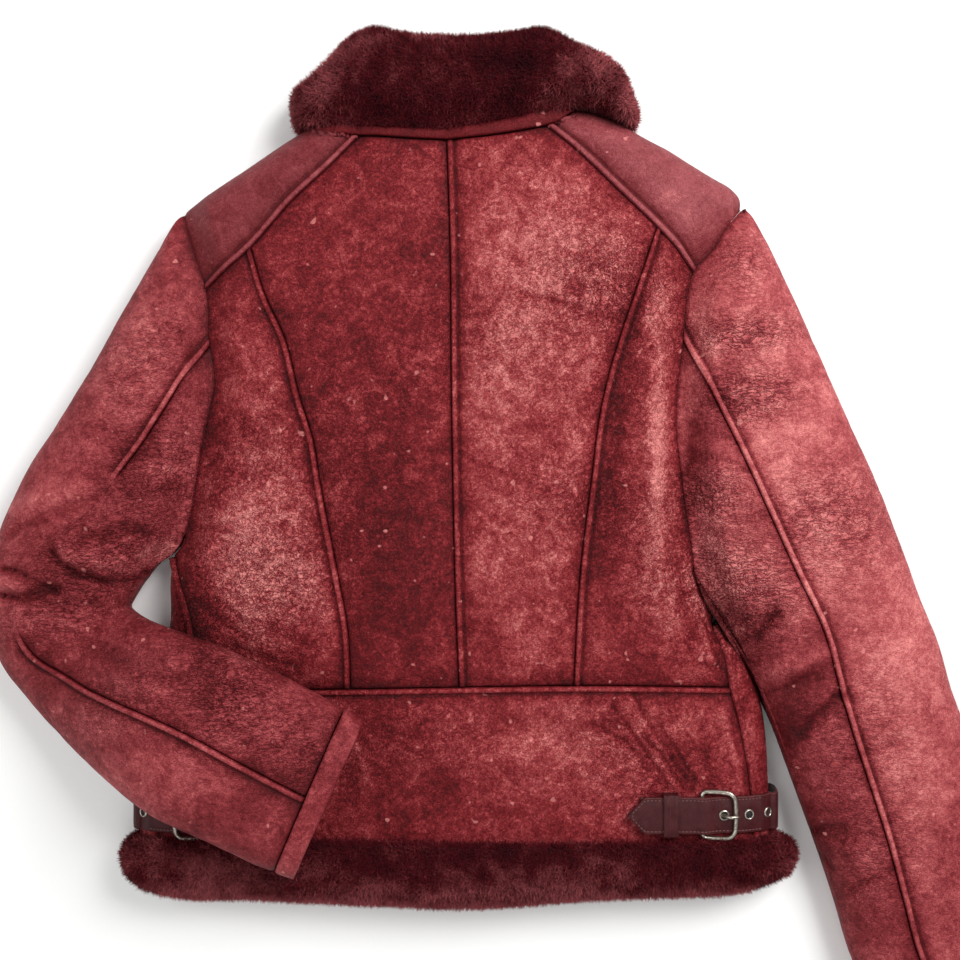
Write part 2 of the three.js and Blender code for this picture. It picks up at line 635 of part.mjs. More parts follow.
// Fleece trim round the hem: its height over the floor, and its pieces
function hemTop(x, y) {
  const edge = toLines(x, y, [LINES.hemLow, LINES.hemEnds.left, LINES.hemEnds.right]);
  return RIM_TOP + (HEM_TOP - RIM_TOP) * roll(edge, HEM_ROLL);
}

function hemLine(x) {
  return atX(LINES.hemLow, x);
}

function hemBack() {
  const xs = [-218.5, -195, -165, -130, -95, -60, -20, 19, 55, 90, 125, 160, 195, 220.5];
  const rows = xs.map((x, k) => {
    const end = k === 0 ? HALF_GAP : k === xs.length - 1 ? -HALF_GAP : 0;
    const start = [x + end, atX(LINES.hemTop, x) - HALF_GAP];
    return shares(span(start, [x + end, hemLine(x)]), [0, 10], 0, [20, 12, 5, 0])
      .map((u) => mixPoint(start, [x + end, hemLine(x)], u));
  });
  return slab(rows, (x, y) => Math.max(hemTop(x, y), backLow() + 2), backLow);
}

function hemFront(side) {
  const left = side === 'left';
  const sign = left ? -1 : 1;
  const end = left ? LINES.hemEnds.left : LINES.hemEnds.right;
  const seamX = left ? -218.5 : 220.5;
  const xs = [FRONT_EDGE_X + sign * HALF_GAP, mix(FRONT_EDGE_X, seamX, 0.33), mix(FRONT_EDGE_X, seamX, 0.66),
    seamX + sign * (HALF_GAP - 0.1), seamX + sign * HALF_GAP, mix(seamX, end[0][0], 0.6)];
  const rows = xs.map((x) => {
    const start = [x, HEM_SEAM_Y];
    return [0, 0.3, 0.55, 0.75, 0.9, 1].map((u) => mixPoint(start, [x, hemLine(x)], u));
  });
  const corner = [0, 0.3, 0.55, 0.75, 0.9, 1].map((u) => along([[end[0][0], HEM_SEAM_Y], ...end.slice(1)], u));
  rows.push(rows[5].map((point, k) => mixPoint(point, corner[k], 0.6)), corner);
  const edges = [LINES.hemLow, end];
  return slab(
    rows,
    (x, y, i) => (i > 3 ? Math.max(hemTop(x, y), RIM_TOP) : frontHigh()),
    (x, y) => underRim(toLines(x, y, edges)),
  );
}

// Narrow piping between the collar and the back
function neckPiping() {
  const xs = [-104, -91, -70, -38, -5.5, 32, 50, 68, 88];
  const rows = xs.map((x) => {
    const start = [x, atX(LINES.neckLow, x) + HALF_GAP];
    const end = [x, atX(LINES.neck, x) - HALF_GAP];
    return [0, 0.3, 0.7, 1].map((u) => mixPoint(start, end, u));
  });
  return slab(rows, (x, y, i, j) => bodyTop(x, y) + (j % 3 === 0 ? 0.4 : 2.2), backLow);
}

// Collar: one band of fleece, closed round both ends, its front leaves meeting at the front edge
const collarFree = COLLAR_ROWS.map(({ topX, topY }) => [topX, topY]);
const collarNeck = COLLAR_ROWS.map(({ neckX, neckY }) => [neckX, neckY]);
const collarEnds = [0, COLLAR_ROWS.length - 1].map((k) => [collarNeck[k], collarFree[k]]);

function collarTop(x, y, share) {
  const edge = toLines(x, y, [collarFree, ...collarEnds]);
  const rise = RIM_TOP + (COLLAR_TOP - RIM_TOP) * roll(edge, COLLAR_ROLL);
  return mix(Math.min(rise, WAIST_TOP + 7), rise, ease(share / 0.3));
}

function collar() {
  const steps = [0, 0.12, 0.28, 0.48, 0.66, 0.8, 0.9, 0.96, 1];
  const rows = collarNeck.map((neck, k) => steps.map((u) => mixPoint(neck, collarFree[k], u)));
  const outerEdge = [collarEnds[0][0], ...collarFree, collarEnds[1][0]];
  const top = (x, y, i, j) => collarTop(x, y, steps[j]);
  const low = (x, y) => underRim(toLine(x, y, outerEdge));
  const block = toManifold(slab(rows, top, low));
  const slit = prism([[-101, 200], [84, 200], [96, 400], [-94, 400]], FRONT_WALL, FRONT_WALL + COLLAR_SLIT);
  const closure = prism([[FRONT_EDGE_X - HALF_GAP, 200], [FRONT_EDGE_X + HALF_GAP, 200],
    [FRONT_EDGE_X + HALF_GAP, 400], [FRONT_EDGE_X - HALF_GAP, 400]], -5, FRONT_WALL + 0.1);
  const leaves = ['left', 'right'].map((side) => collarLeaf(side));
  const opened = block.subtract(toManifold(slit)).subtract(toManifold(closure));
  return leaves.reduce((body, leaf) => body.add(leaf), opened);
}

// The part of a front collar leaf that reaches down to the front neck seam
function collarLeaf(side) {
  const left = side === 'left';
  const xs = left ? [-91, -84, -40, FRONT_EDGE_X - 0.5] : [FRONT_EDGE_X + 0.5, 60, 76];
  const seam = left ? LINES.frontNeck.slice(0, 4) : LINES.frontNeck.slice(3);
  const rows = xs.map((x) => [[x, atX(seam, x) + 1.2], [x, 250], [x, 276]]);
  return toManifold(slab(rows, () => FRONT_WALL - 0.4, () => 0.2));
}

// Sleeves. Each section is worked out from its row; d is the distance from the inner edge.
function middleOf({ ox, oy, ix, iy }) {
  return [(ox + ix) / 2, (oy + iy) / 2];
}

function sleeveSections(rows, foldList) {
  let travelled = 0;
  const lengths = rows.map((row, k) => {
    if (k > 0) {
      const back = rows[k - 1];
      travelled += span(middleOf(row), middleOf(back));
    }
    return travelled;
  });
  return rows.map((row, k) => {
    const [inner, outer] = [[row.ix, row.iy], [row.ox, row.oy]];
    const width = span(inner, outer);
    const toMouth = travelled - lengths[k];
    const reach = width * ROLL_SHARE;
    const middle = MIDDLE_SHARE * row.high;
    const base = (d) => mix(row.lowI, row.lowO, d / width);
    const plan = (d) => mixPoint(inner, outer, d / width);
    const round = (d) => roll(d, reach) * roll(width - d, reach);
    const skin = (d) => {
      const [x, y] = plan(d);
      const calm = ease(Math.min(d, width - d) / CALM_REACH);
      const rise = (row.high - middle - SIDE_WALL) * round(d);
      return base(d) + middle + SIDE_WALL + rise + foldRise(foldList, x, y) * calm;
    };
    const outerTop = (d) => {
      const [x, y] = plan(d);
      const free = row.lowO > 0 || row.lowI > 0 || y < (x > 0 ? FREE_BELOW.right : FREE_BELOW.left);
      const near = free ? 1 : ease(toLines(x, y, ARMHOLES) / ARMHOLE_REACH);
      return mix(armholeTop(x, y), skin(d), near);
    };
    const camber = (d) => UNDER_CAMBER * Math.sin((Math.PI * d) / width);
    const wall = (d) => (middle - SIDE_WALL) * (1 - roll(Math.min(d, width - d), LOW_ROLL));
    const outerLow = (d) => base(d) + camber(d) + wall(d);
    const open = mix(SHUT_GAP, MOUTH_GAP, ease(1 - toMouth / MOUTH_DEPTH)) + 2 * UNDER_CAMBER;
    const half = width / 2 - SLEEVE_WALL;
    const lens = (d) => roll(d - SLEEVE_WALL, half) * roll(width - SLEEVE_WALL - d, half);
    const split = (d, way) => base(d) + middle + way * (SHUT_GAP / 2 + ((open - SHUT_GAP) / 2) * lens(d));
    return { row, width, plan, outerTop, outerLow, split };
  });
}

function place(section, d, z) {
  const [x, y] = section.plan(d);
  return [x, y, z];
}

// One section of the under sleeve: from the back seam round the inner edge to the front seam
function underRing(section) {
  const { width, row, outerTop, outerLow, split } = section;
  const seam = row.seam - SLEEVE_HALF_GAP;
  const frontSeam = width * FRONT_SEAM_SHARE - SLEEVE_HALF_GAP;
  const top = [seam, seam * 0.78, seam * 0.56, seam * 0.36, seam * 0.18, seam * 0.07, 0];
  const low = [3, LOW_ROLL, frontSeam];
  const inner = [frontSeam, mix(SLEEVE_WALL, frontSeam, 0.5)];
  const back = [mix(SLEEVE_WALL, seam, 0.3), mix(SLEEVE_WALL, seam, 0.65), seam];
  return [
    ...top.map((d) => place(section, d, outerTop(d))),
    place(section, 0, outerLow(0)),
    ...low.map((d) => place(section, d, outerLow(d))),
    ...inner.map((d) => place(section, d, split(d, -1))),
    place(section, SLEEVE_WALL, split(SLEEVE_WALL, 0)),
    ...back.map((d) => place(section, d, split(d, 1))),
  ];
}

// One section of the top sleeve: from the back seam round the outer edge to the front seam
function topRing(section) {
  const { width, row, outerTop, outerLow, split } = section;
  const seam = row.seam + SLEEVE_HALF_GAP;
  const rest = width - seam;
  const frontSeam = width * FRONT_SEAM_SHARE + SLEEVE_HALF_GAP;
  const lap = [seam, seam + LAP_WIDTH, seam + LAP_WIDTH + LAP_SLOPE];
  const top = [0.7, 0.45, 0.25, 0.1, 0.03, 0].map((share) => width - share * rest);
  const low = [3, LOW_ROLL, width * 0.4, width - frontSeam].map((d) => width - d);
  const inner = [frontSeam, mix(frontSeam, width - SLEEVE_WALL, 0.5)];
  const back = [mix(seam, width - SLEEVE_WALL, 0.6), mix(seam, width - SLEEVE_WALL, 0.25), seam];
  return [
    ...lap.map((d, k) => place(section, d, outerTop(d) + lapLift(k))),
    ...top.map((d) => place(section, d, outerTop(d))),
    place(section, width, outerLow(width)),
    ...low.map((d) => place(section, d, outerLow(d))),
    ...inner.map((d) => place(section, d, split(d, -1))),
    place(section, width - SLEEVE_WALL, split(width - SLEEVE_WALL, 0)),
    ...back.map((d) => place(section, d, split(d, 1))),
  ];
}

function outerRing(section) {
  const { width, outerTop, outerLow } = section;
  const top = [0, 0.03, 0.1, 0.22, 0.38, 0.5, 0.62, 0.78, 0.9, 0.97, 1].map((share) => share * width);
  const low = [3, LOW_ROLL, width - LOW_ROLL, width - 3].reverse();
  return [
    ...top.map((d) => place(section, d, outerTop(d))),
    place(section, width, outerLow(width)),
    ...low.map((d) => place(section, d, outerLow(d))),
    place(section, 0, outerLow(0)),
  ];
}

function hollowRing(section, step) {
  const { width, split } = section;
  const across = [0, 0.08, 0.3, 0.5, 0.7, 0.92, 1].map((share) => mix(SLEEVE_WALL, width - SLEEVE_WALL, share));
  const points = [
    ...across.map((d) => place(section, d, split(d, 1))),
    ...across.slice(1, -1).reverse().map((d) => place(section, d, split(d, -1))),
  ];
  return points.map(([x, y, z]) => [x + step[0], y + step[1], z]);
}

// What the body takes out of a sleeve: everything inside the armhole, with the seam's gap
function armholeCut(side) {
  const left = side === 'left';
  const armhole = left ? LINES.armholeLeft : LINES.armholeRight;
  const edge = left ? LINES.sideLeft.slice(1, 3) : LINES.sideRight.slice(1);
  const away = left ? -1 : 1;
  const seam = shifted([...armhole, ...edge], away * GAP * 1.5);
  const floor = seam[seam.length - 1][1];
  return toManifold(prism([...seam, [0, floor], [0, 320], [away * 208, 320]], -5, 200));
}

function sleeve(side) {
  const rows = named(SLEEVE_COLUMNS, side === 'left' ? LEFT_SLEEVE : RIGHT_SLEEVE);
  const sections = sleeveSections(rows, folds[side]);
  const cut = armholeCut(side);
  const arm = sections.slice(0, sections.length - CUFF_ROWS + 1);
  const [from, to] = sections.slice(-CUFF_ROWS);
  const [a, b] = [from.plan(from.width / 2), to.plan(to.width / 2)];
  const way = [(b[0] - a[0]) / span(a, b), (b[1] - a[1]) / span(a, b)];
  const band = [outerRing(from).map(([x, y, z]) => [x + way[0] * GAP, y + way[1] * GAP, z]), outerRing(to)];
  const hollow = [hollowRing(from, way.map((c) => -2 * c)), hollowRing(to, way.map((c) => 2 * c))];
  return {
    top: toManifold(faceOut(loft(arm.map(topRing), TOP_PATH))).subtract(cut),
    under: toManifold(faceOut(loft(arm.map(underRing), UNDER_PATH))).subtract(cut),
    cuff: toManifold(faceOut(loft(band, BAND_PATH))).subtract(toManifold(faceOut(loft(hollow, HOLLOW_PATH)))),
  };
}

// Side straps. way is +1 on the right and -1 on the left, where x is mirrored.
function strapParts(side) {
  const way = side === 'right' ? 1 : -1;
  const px = (x) => (way > 0 ? x : 2 * MIRROR_X - x);
  const surface = (x, y) => bodyTop(px(x), y);
  const half = STRAP_WIDTH / 2;
  const over = (x) => {
    const onBar = Math.exp(-(((x - PIVOT_X) / 8) ** 2)) * (BAR + 0.4);
    const onTab = x < 186 ? TAB_THICK + GAP : 0;
    return GAP + Math.max(onTab, onBar);
  };
  const crown = (x) => surface(x, STRAP_Y);
  const strip = (stops, rise, thick, widthAt) => {
    const rows = stops.map((x) => [-1, -0.92, 0, 0.92, 1].map((v) => [px(x), STRAP_Y + v * widthAt(x)]));
    return slab(
      rows,
      (x, y, i, j) => surface(stops[i], y) + rise(stops[i]) + thick - (j % 4 === 0 ? 0.5 : 0),
      (x, y, i) => surface(stops[i], y) + rise(stops[i]),
    );
  };
  const tipped = (tip, length) => (x) => half * clamp((x - tip) / length, 0.12, 1);
  const stops = [127.5, 131, 136, 142, 153, 165, 173, 177, 181.5, 186, 190, 193, 197, 201, 205, 211, 216, 222];
  const strap = toManifold(strip(stops, over, STRAP_THICK, tipped(STRAP_TIP_X, STRAP_TIP)));
  const endPath = [221.9, 225, 228, 231, 233].map((x) => [x, surface(x, STRAP_Y) + GAP + 0.7]);
  endPath.push([236, RIM_TOP + 11], [238.6, RIM_TOP + 4], [239.6, RIM_TOP - 4], [239.6, 6], [238.4, 2.2]);
  const rings = endPath.map(([x, z], k) => {
    const before = endPath[Math.max(k - 1, 0)];
    const after = endPath[Math.min(k + 1, endPath.length - 1)];
    const length = span(before, after);
    const normal = [-(after[1] - before[1]) / length, (after[0] - before[0]) / length];
    return [[0, -half], [STRAP_THICK, -half], [STRAP_THICK, half], [0, half]]
      .map(([up, v]) => [px(x + normal[0] * up), STRAP_Y + v, z + normal[1] * up]);
  });
  const wrap = toManifold(faceOut(loft(rings, 2)));
  const drill = (x) => toManifold(faceOut(round(px(x), STRAP_Y, 0, 90, EYELET_HOLE)));
  const whole = HOLES_X.reduce((body, x) => body.subtract(drill(x)), strap.add(wrap));
  const tab = strip([136, 140, 150, 160, 170, 178.5], () => GAP, TAB_THICK, () => half - 0.8);
  const keeperTop = (x) => crown(x) + over(x) + STRAP_THICK + GAP;
  const keeper = keeperLoop(keeperTop, surface, half, px);
  const farBar = crown(FAR_BAR_X - 0.5) + GAP + STRAP_THICK + GAP;
  const pivotBar = crown(PIVOT_X) + GAP;
  const frame = buckleFrame(px, pivotBar, farBar);
  const prongPath = [[183.5, pivotBar + STRAP_THICK + 4.3], [190, farBar + 2.6], [198, farBar + 1.9],
    [207, farBar + 1.6]];
  const prong = loftBar(prongPath.map(([x, z]) => [px(x), STRAP_Y, z + BAR]), PRONG_RADIUS);
  const eyeletStops = [[190, 193, 197, 201, 205], [205, 211, 216, 222]];
  const eyelets = HOLES_X.map((x, k) => {
    const onTop = (at) => over(at) + STRAP_THICK + GAP;
    const plate = toManifold(strip(eyeletStops[k], onTop, EYELET_THICK, () => half - 1));
    return plate.intersect(toManifold(faceOut(round(px(x), STRAP_Y, 0, 90, EYELET_OUTER)))).subtract(drill(x));
  });
  return { strap: whole, tab: toManifold(tab), keeper, frame, prong, eyelets };
}

function round(x, y, low, high, radius) {
  const geometry = new THREE.CylinderGeometry(radius, radius, high - low, 12, 1);
  geometry.rotateX(Math.PI / 2);
  geometry.translate(x, y, (low + high) / 2);
  geometry.deleteAttribute('normal');
  geometry.deleteAttribute('uv');
  return mergeVertices(geometry, 1e-4);
}

// A loop of hide over the strap and down to the panel on both sides
function keeperLoop(top, surface, half, px) {
  const [x1, x2] = KEEPER_X;
  const wall = KEEPER_WALL;
  const clear = GAP + 0.2;
  const profile = (x) => {
    const foot = (y) => surface(x, y) + GAP;
    const crown = top(x);
    return [
      [-half - clear - wall, foot(STRAP_Y - half - clear - wall)], [-half - clear - wall, crown + wall - 0.6],
      [-half - clear, crown + wall], [half + clear, crown + wall], [half + clear + wall, crown + wall - 0.6],
      [half + clear + wall, foot(STRAP_Y + half + clear + wall)], [half + clear, foot(STRAP_Y + half + clear)],
      [half + clear, crown], [-half - clear, crown], [-half - clear, foot(STRAP_Y - half - clear)],
    ].map(([v, z]) => [px(x), STRAP_Y + v, z]);
  };
  return toManifold(faceOut(loft([profile(x1), profile((x1 + x2) / 2), profile(x2)], 6)));
}

// A bar of eight sides through a list of points
function barRings(points, radius, joined) {
  return points.map((point, k) => {
    const count = points.length;
    const before = new THREE.Vector3(...points[joined ? (k + count - 1) % count : Math.max(k - 1, 0)]);
    const after = new THREE.Vector3(...points[joined ? (k + 1) % count : Math.min(k + 1, count - 1)]);
    const ahead = after.sub(before).normalize();
    const side = new THREE.Vector3().crossVectors(ahead, new THREE.Vector3(0, 0, 1)).normalize();
    const up = new THREE.Vector3().crossVectors(side, ahead);
    return Array.from({ length: BAR_SIDES }, (_, n) => {
      const angle = (2 * n * Math.PI) / BAR_SIDES;
      const p = new THREE.Vector3(...point).addScaledVector(side, radius * Math.cos(angle));
      return p.addScaledVector(up, radius * Math.sin(angle)).toArray();
    });
  });
}

function loftBar(points, radius) {
  return toManifold(faceOut(loft(barRings(points, radius, false), BAR_SIDES / 2)));
}

function buckleFrame(px, pivotBar, farBar) {
  const [tall, small, large] = [16.8, 3, 6];
  const points = [];
  const corners = [[PIVOT_X + small, -tall + small, small, 180], [FAR_BAR_X - large, -tall + large, large, 270],
    [FAR_BAR_X - large, tall - large, large, 0], [PIVOT_X + small, tall - small, small, 90]];
  for (const [cx, cy, r, from] of corners) {
    for (let k = 0; k <= 3; k += 1) {
      const angle = THREE.MathUtils.degToRad(from + 30 * k);
      const x = cx + r * Math.cos(angle);
      const rise = ease((x - PIVOT_X) / (FAR_BAR_X - PIVOT_X));
      points.push([px(x), STRAP_Y + cy + r * Math.sin(angle), mix(pivotBar, farBar, rise) + BAR / 2]);
    }
  }
  return toManifold(faceOut(loft(barRings(points, BAR / 2, true), BAR_SIDES / 2, true)));
}

const jacket = new THREE.Group();
jacket.name = 'shearling_jacket';

function add(name, shape, look) {
  const geometry = shape instanceof THREE.BufferGeometry ? faceOut(shape) : fromManifold(shape);
  const mesh = new THREE.Mesh(geometry, new THREE.MeshStandardMaterial(look));
  mesh.name = name;
  jacket.add(mesh);
}

for (const side of ['left', 'right']) {
  add(`back_centre_${side}`, backCentre(side), HIDE);
  add(`back_side_${side}`, backSide(side), HIDE);
  add(`shoulder_saddle_${side}`, saddle(side), DARK_HIDE);
  add(`front_${side}`, front(side), HIDE);
  add(`hem_trim_front_${side}`, hemFront(side), FLEECE);
  const arm = sleeve(side);
  add(`sleeve_top_${side}`, arm.top, HIDE);
  add(`sleeve_under_${side}`, arm.under, HIDE);
  add(`cuff_${side}`, arm.cuff, HIDE);
  const strap = strapParts(side);
  add(`strap_${side}`, strap.strap, STRAP_HIDE);
  add(`strap_tab_${side}`, strap.tab, STRAP_HIDE);
  add(`strap_keeper_${side}`, strap.keeper, STRAP_HIDE);
  add(`buckle_frame_${side}`, strap.frame, NICKEL);
  add(`buckle_prong_${side}`, strap.prong, NICKEL);
  strap.eyelets.forEach((eyelet, k) => add(`eyelet_${k + 1}_${side}`, eyelet, NICKEL));
}
add('back_waist_panel', waistPanel(), HIDE);
add('hem_trim_back', hemBack(), FLEECE);
add('neck_piping', neckPiping(), HIDE);
add('collar', collar(), FLEECE);

export default jacket;
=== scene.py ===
"""Looks of a cropped shearling jacket that lies face down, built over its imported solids.

Tables and sizes are in millimetres and meshes are in metres. Each cut piece of hide is a thin shell on
its solid's form, and the collar and hem are bodies of fleece with a pile of short tufts.
"""

import logging
import math
from collections.abc import Callable, Sequence
from dataclasses import dataclass, field
from enum import Enum

import bpy
import numpy as np
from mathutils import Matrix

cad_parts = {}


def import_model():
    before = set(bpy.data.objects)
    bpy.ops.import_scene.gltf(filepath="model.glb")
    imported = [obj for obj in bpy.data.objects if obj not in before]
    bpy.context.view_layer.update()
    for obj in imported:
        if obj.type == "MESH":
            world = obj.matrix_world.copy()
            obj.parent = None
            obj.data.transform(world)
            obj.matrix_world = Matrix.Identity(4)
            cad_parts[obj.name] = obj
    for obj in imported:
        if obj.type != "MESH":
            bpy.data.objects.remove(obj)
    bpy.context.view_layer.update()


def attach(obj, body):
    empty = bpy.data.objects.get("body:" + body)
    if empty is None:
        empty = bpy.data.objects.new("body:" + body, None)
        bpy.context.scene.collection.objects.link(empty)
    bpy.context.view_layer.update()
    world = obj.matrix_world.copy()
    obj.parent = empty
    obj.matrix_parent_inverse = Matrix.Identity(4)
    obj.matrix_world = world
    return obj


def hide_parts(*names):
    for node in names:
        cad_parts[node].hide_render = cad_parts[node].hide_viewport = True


LOG = logging.getLogger("jacket")
Array = np.ndarray

MM = 0.001

# The camera: its height, its place over the jacket and what one pixel covers on the plane 18 mm up
CAMERA_HEIGHT = 866.0
CAMERA_X = 18.75
PIXEL = 0.75
PIXEL_PLANE = 18.0
PICTURE = 960

# Heights over the floor, rolls at the free edges and the widths of the seams, as in the solids
FRONT_WALL = 14.0
BACK_TOP = 41.0
WAIST_TOP = 36.5
HEM_TOP = 45.0
COLLAR_TOP = 56.0
ARMHOLE_TOP = 32.0
RIM_TOP = 15.5
RIM_LOW = 11.5
TOP_ROLL = 36.0
LOW_ROLL = 11.0
HEM_ROLL = 26.0
COLLAR_ROLL = 32.0
SEAM_DIP = 2.6
SEAM_REACH = 9.0
ARMHOLE_REACH = 24.0
FRONT_EDGE_X = 26.0
WAIST_Y = -152.5
HEM_SEAM_Y = -264.7
GAP = 0.3

# Seams and edges seen from above, each a list of x and y
LINES: dict[str, list[tuple[float, float]]] = {
    "neck": [(-107, 259.5), (-92, 260.5), (-62.5, 258.5), (-25, 257), (-3, 257.5), (32, 262.5), (64, 269.5), (90, 273)],
    "neck_low": [(-104, 255.5), (-91, 253.8), (-70, 252.6), (-5.5, 249.5), (32, 253), (68, 260), (88, 266.8)],
    "shoulder_left": [(-110, 262.5), (-118, 258), (-131.5, 249.5), (-153.5, 234.5), (-199.5, 203), (-204, 199.5)],
    "shoulder_right": [(94, 276.5), (103, 274.5), (131, 262.5), (140.5, 257), (158.5, 247.5), (175, 237),
                       (194, 225.5), (207.5, 217.5), (213.5, 211), (215.5, 203.5)],
    "saddle_left": [(-70, 252.3), (-90.5, 231.5), (-120, 204), (-149.5, 170.5), (-184, 141)],
    "saddle_right": [(68, 259.7), (87.5, 244), (119, 214), (148.5, 185.7), (160, 173.5), (176.5, 153.5)],
    "centre_back": [(-5.5, 249.5), (-3, 171.5), (-2, 60), (-1, 0), (1, -89), (3.5, -152.5)],
    "side_back_left": [(-149.5, 170.5), (-140, 138), (-124, 102.5), (-114.5, 64.5), (-104, 30.5), (-99, 0),
                       (-86, -67.5), (-78.5, -112), (-77, -154)],
    "side_back_right": [(148.5, 185.7), (135, 145), (122, 107), (108, 55.5), (100.5, 0), (92.5, -67.5), (88, -151.5)],
    "armhole_left": [(-203.5, 199.5), (-192, 163.5), (-184, 141), (-181.5, 105), (-177.5, 71.5), (-181.5, 49.5),
                     (-188.5, 15.5), (-196.5, -29.5), (-205, -51), (-212.5, -59)],
    "armhole_right": [(215.5, 203.5), (202, 187.5), (191, 171), (176.5, 153.5), (172, 137), (169, 105), (165, 71.5),
                      (163.5, 47), (167.5, 0), (174, -44.5), (179.5, -74.5), (188, -94.5), (195, -105.5)],
    "waist": [(-198, -155.5), (-104.5, -154.5), (19, -152.5), (86, -151.5), (203, -152.8)],
    "side_seam_left": [(-210, -62), (-201.5, -81.5), (-194.5, -104), (-192, -120), (-198, -155.5), (-207.5, -192.5),
                       (-216, -227), (-218.5, -264.5)],
    "side_seam_right": [(193, -107), (199.5, -129.5), (203, -152.8), (210.5, -182.5), (218.5, -227), (220.5, -265.5)],
    "side_left": [(-213.5, -60), (-213.5, -81.5), (-213.5, -104), (-216, -120), (-224, -155.5), (-230, -192.5),
                  (-233.5, -227), (-236.5, -264.5)],
    "side_right": [(197, -108), (216, -129.5), (226, -152.8), (232, -182.5), (235, -227), (238, -265.5)],
    "hem_top": [(-236.5, -264.5), (-218.5, -264.5), (-100, -265), (19, -268), (81.5, -268), (171, -266),
                (220.5, -265.5), (238, -265.5)],
    "hem_low": [(-245, -292), (-232, -303), (-209.5, -308.5), (-145.5, -310.5), (-65.5, -314.5), (19, -317),
                (105.5, -310.5), (156, -308.5), (222, -303), (249, -292)],
    "hem_end_left": [(-236.5, -264.5), (-248, -275), (-245, -292)],
    "hem_end_right": [(238, -265.5), (254.5, -275), (249, -292)],
    "front_neck_left": [(-107, 254), (-84, 222), (-40, 196), (26, 184)],
    "front_neck_right": [(26, 184), (60, 196), (84, 226), (93, 268)],
}

# The collar: neck x and y, then free edge x and y, for each place along it
COLLAR_ROWS = [
    (-118, 262.5, -121, 279), (-112, 264.5, -119, 287), (-105, 261.5, -108, 297), (-92, 261.5, -92.5, 311.5),
    (-76, 260.3, -76, 328), (-59, 259, -59, 334.5), (-40, 258.3, -40.5, 330.5), (-11, 258, -11, 328.5),
    (19, 261.4, 19, 328.5), (45, 266, 48, 332), (62, 269.7, 67, 334), (78, 272.8, 89, 323),
    (92, 278, 114, 311.5), (106, 276.3, 124, 303), (122, 270, 130.5, 288), (134, 264, 136, 272),
]

# Sleeves: outer x and y, inner x and y, back seam's distance from the inner edge, the sleeve's own
# height, and the underside's height at the outer and at the inner edge
RIGHT_SLEEVE = [
    (208, 216, 73, 162, 60, 36, 0, 0), (228, 187, 93, 133, 57, 40, 0, 0),
    (246, 149, 111, 95, 56, 45, 0, 0), (267.5, 102, 131, 46, 58, 48, 0, 0),
    (292, 45.5, 153, -12, 63.5, 50, 0, 0), (307.5, 11, 168, -50, 65.3, 51, 0, 0),
    (326.5, -35.5, 188, -94, 65, 52, 0, 0), (342.5, -79, 213, -127, 57, 51, 0, 0),
    (360, -122, 231.5, -168, 50.5, 50, 0, 0), (370, -156.5, 244, -201, 48, 49, 0, 0),
    (382, -188.5, 256, -234, 47, 48, 0, 0), (397, -228.5, 271, -275, 45.5, 47, 0, 0),
    (413.5, -275.5, 285.5, -318.5, 43, 46, 0, 0), (428.5, -317, 299, -361.5, 42, 44, 0, 0),
    (441.5, -356, 320, -402, 41, 42, 0, 0), (449, -379, 333, -422, 40, 40, 0, 0),
    (453, -391.5, 338.5, -434.5, 39, 39, 0, 0),
]
LEFT_SLEEVE = [
    (-194, 213, -92, 153, 48, 36, 0, 0), (-212, 187, -108, 126, 47.5, 40, 0, 0),
    (-230, 156, -127, 95, 47, 44, 0, 0), (-248, 125, -145, 63, 49.6, 47, 0, 0),
    (-270, 84, -167, 21, 52.5, 49, 0, 0), (-295.5, 41.5, -188, -20, 58.5, 50, 0, 0),
    (-321.5, 0, -210, -54, 64, 50, 0, 0), (-338.5, -38.5, -222, -63, 73, 50, 0, 0),
    (-346, -70.5, -233, -77, 79, 50, 0, 0), (-346, -104.5, -241, -90, 77, 50, 0, 0),
    (-337, -137, -243, -94.5, 71, 48, 0, 2), (-315, -164.5, -238, -97.5, 62, 47, 2, 9),
    (-290.5, -187.5, -223, -101.5, 60, 46, 10, 27), (-259, -209.5, -200, -107, 58.5, 45, 27, 42.5),
    (-216.5, -236, -165, -119, 58.5, 44, 43, 45.5), (-172, -256, -128, -136.5, 61, 43, 46.5, 45.5),
    (-126.5, -276.5, -78, -163.5, 60.5, 41, 47, 44.5), (-113, -281.5, -64, -171.5, 59.5, 40, 47, 44),
]

# Large folds: x and y of their points, reach and rise
BODY_FOLDS = [
    (-190, -10, -120, -60, 16, 2.2), (-175, 20, -130, 0, 9, -1.6), (170, 20, 120, -30, 16, 2.2),
    (150, 60, 120, 85, 10, -1.8), (-110, 60, -150, -20, 14, 1.8), (-60, -40, -20, -110, 22, 1.6),
    (70, 70, 40, -20, 24, 1.8), (147, 75, 150, -97, 11, 3.2), (124, 77, 114, -15, 109, -100, 6, -1.6), (166, 8, 169, -88, 5, -2.0), (-150, -190, 60, -205, 14, 1.6), (40, -185, 180, -215, 12, -1.4),
]
LEFT_FOLDS = [
    (-335, -22, -275, -6, 8, 2.5), (-253, -10, -323, -38, 4, -2.5), (-279, -54, -245, -58, -212, -50, 10, 4.5),
    (-291, -52, -283, -62, -270, -69, -257.5, -73.5, -245, -74.5, -232, -70, -218.5, -64.5, -204, -54.5, 2.8, -5.0),
    (-267.5, -41, -252, -38, -237.5, -35.5, -223, -38, 4.5, -3),
    (-330, -65, -320, -65.5, -310, -70.5, -297.5, -78, -286.5, -79, 2.6, -4.5),
    (-330, -84, -312, -86, -301, -81, -292, -79.5, 2.6, -4.5), (-336, -75, -308, -77.5, 5, 3),
    (-215, 30, -250, 30, 12, -2), (-250, -125, -190, -140, 7, -2), (-200, -165, -150, -185, 10, 1.5),
]
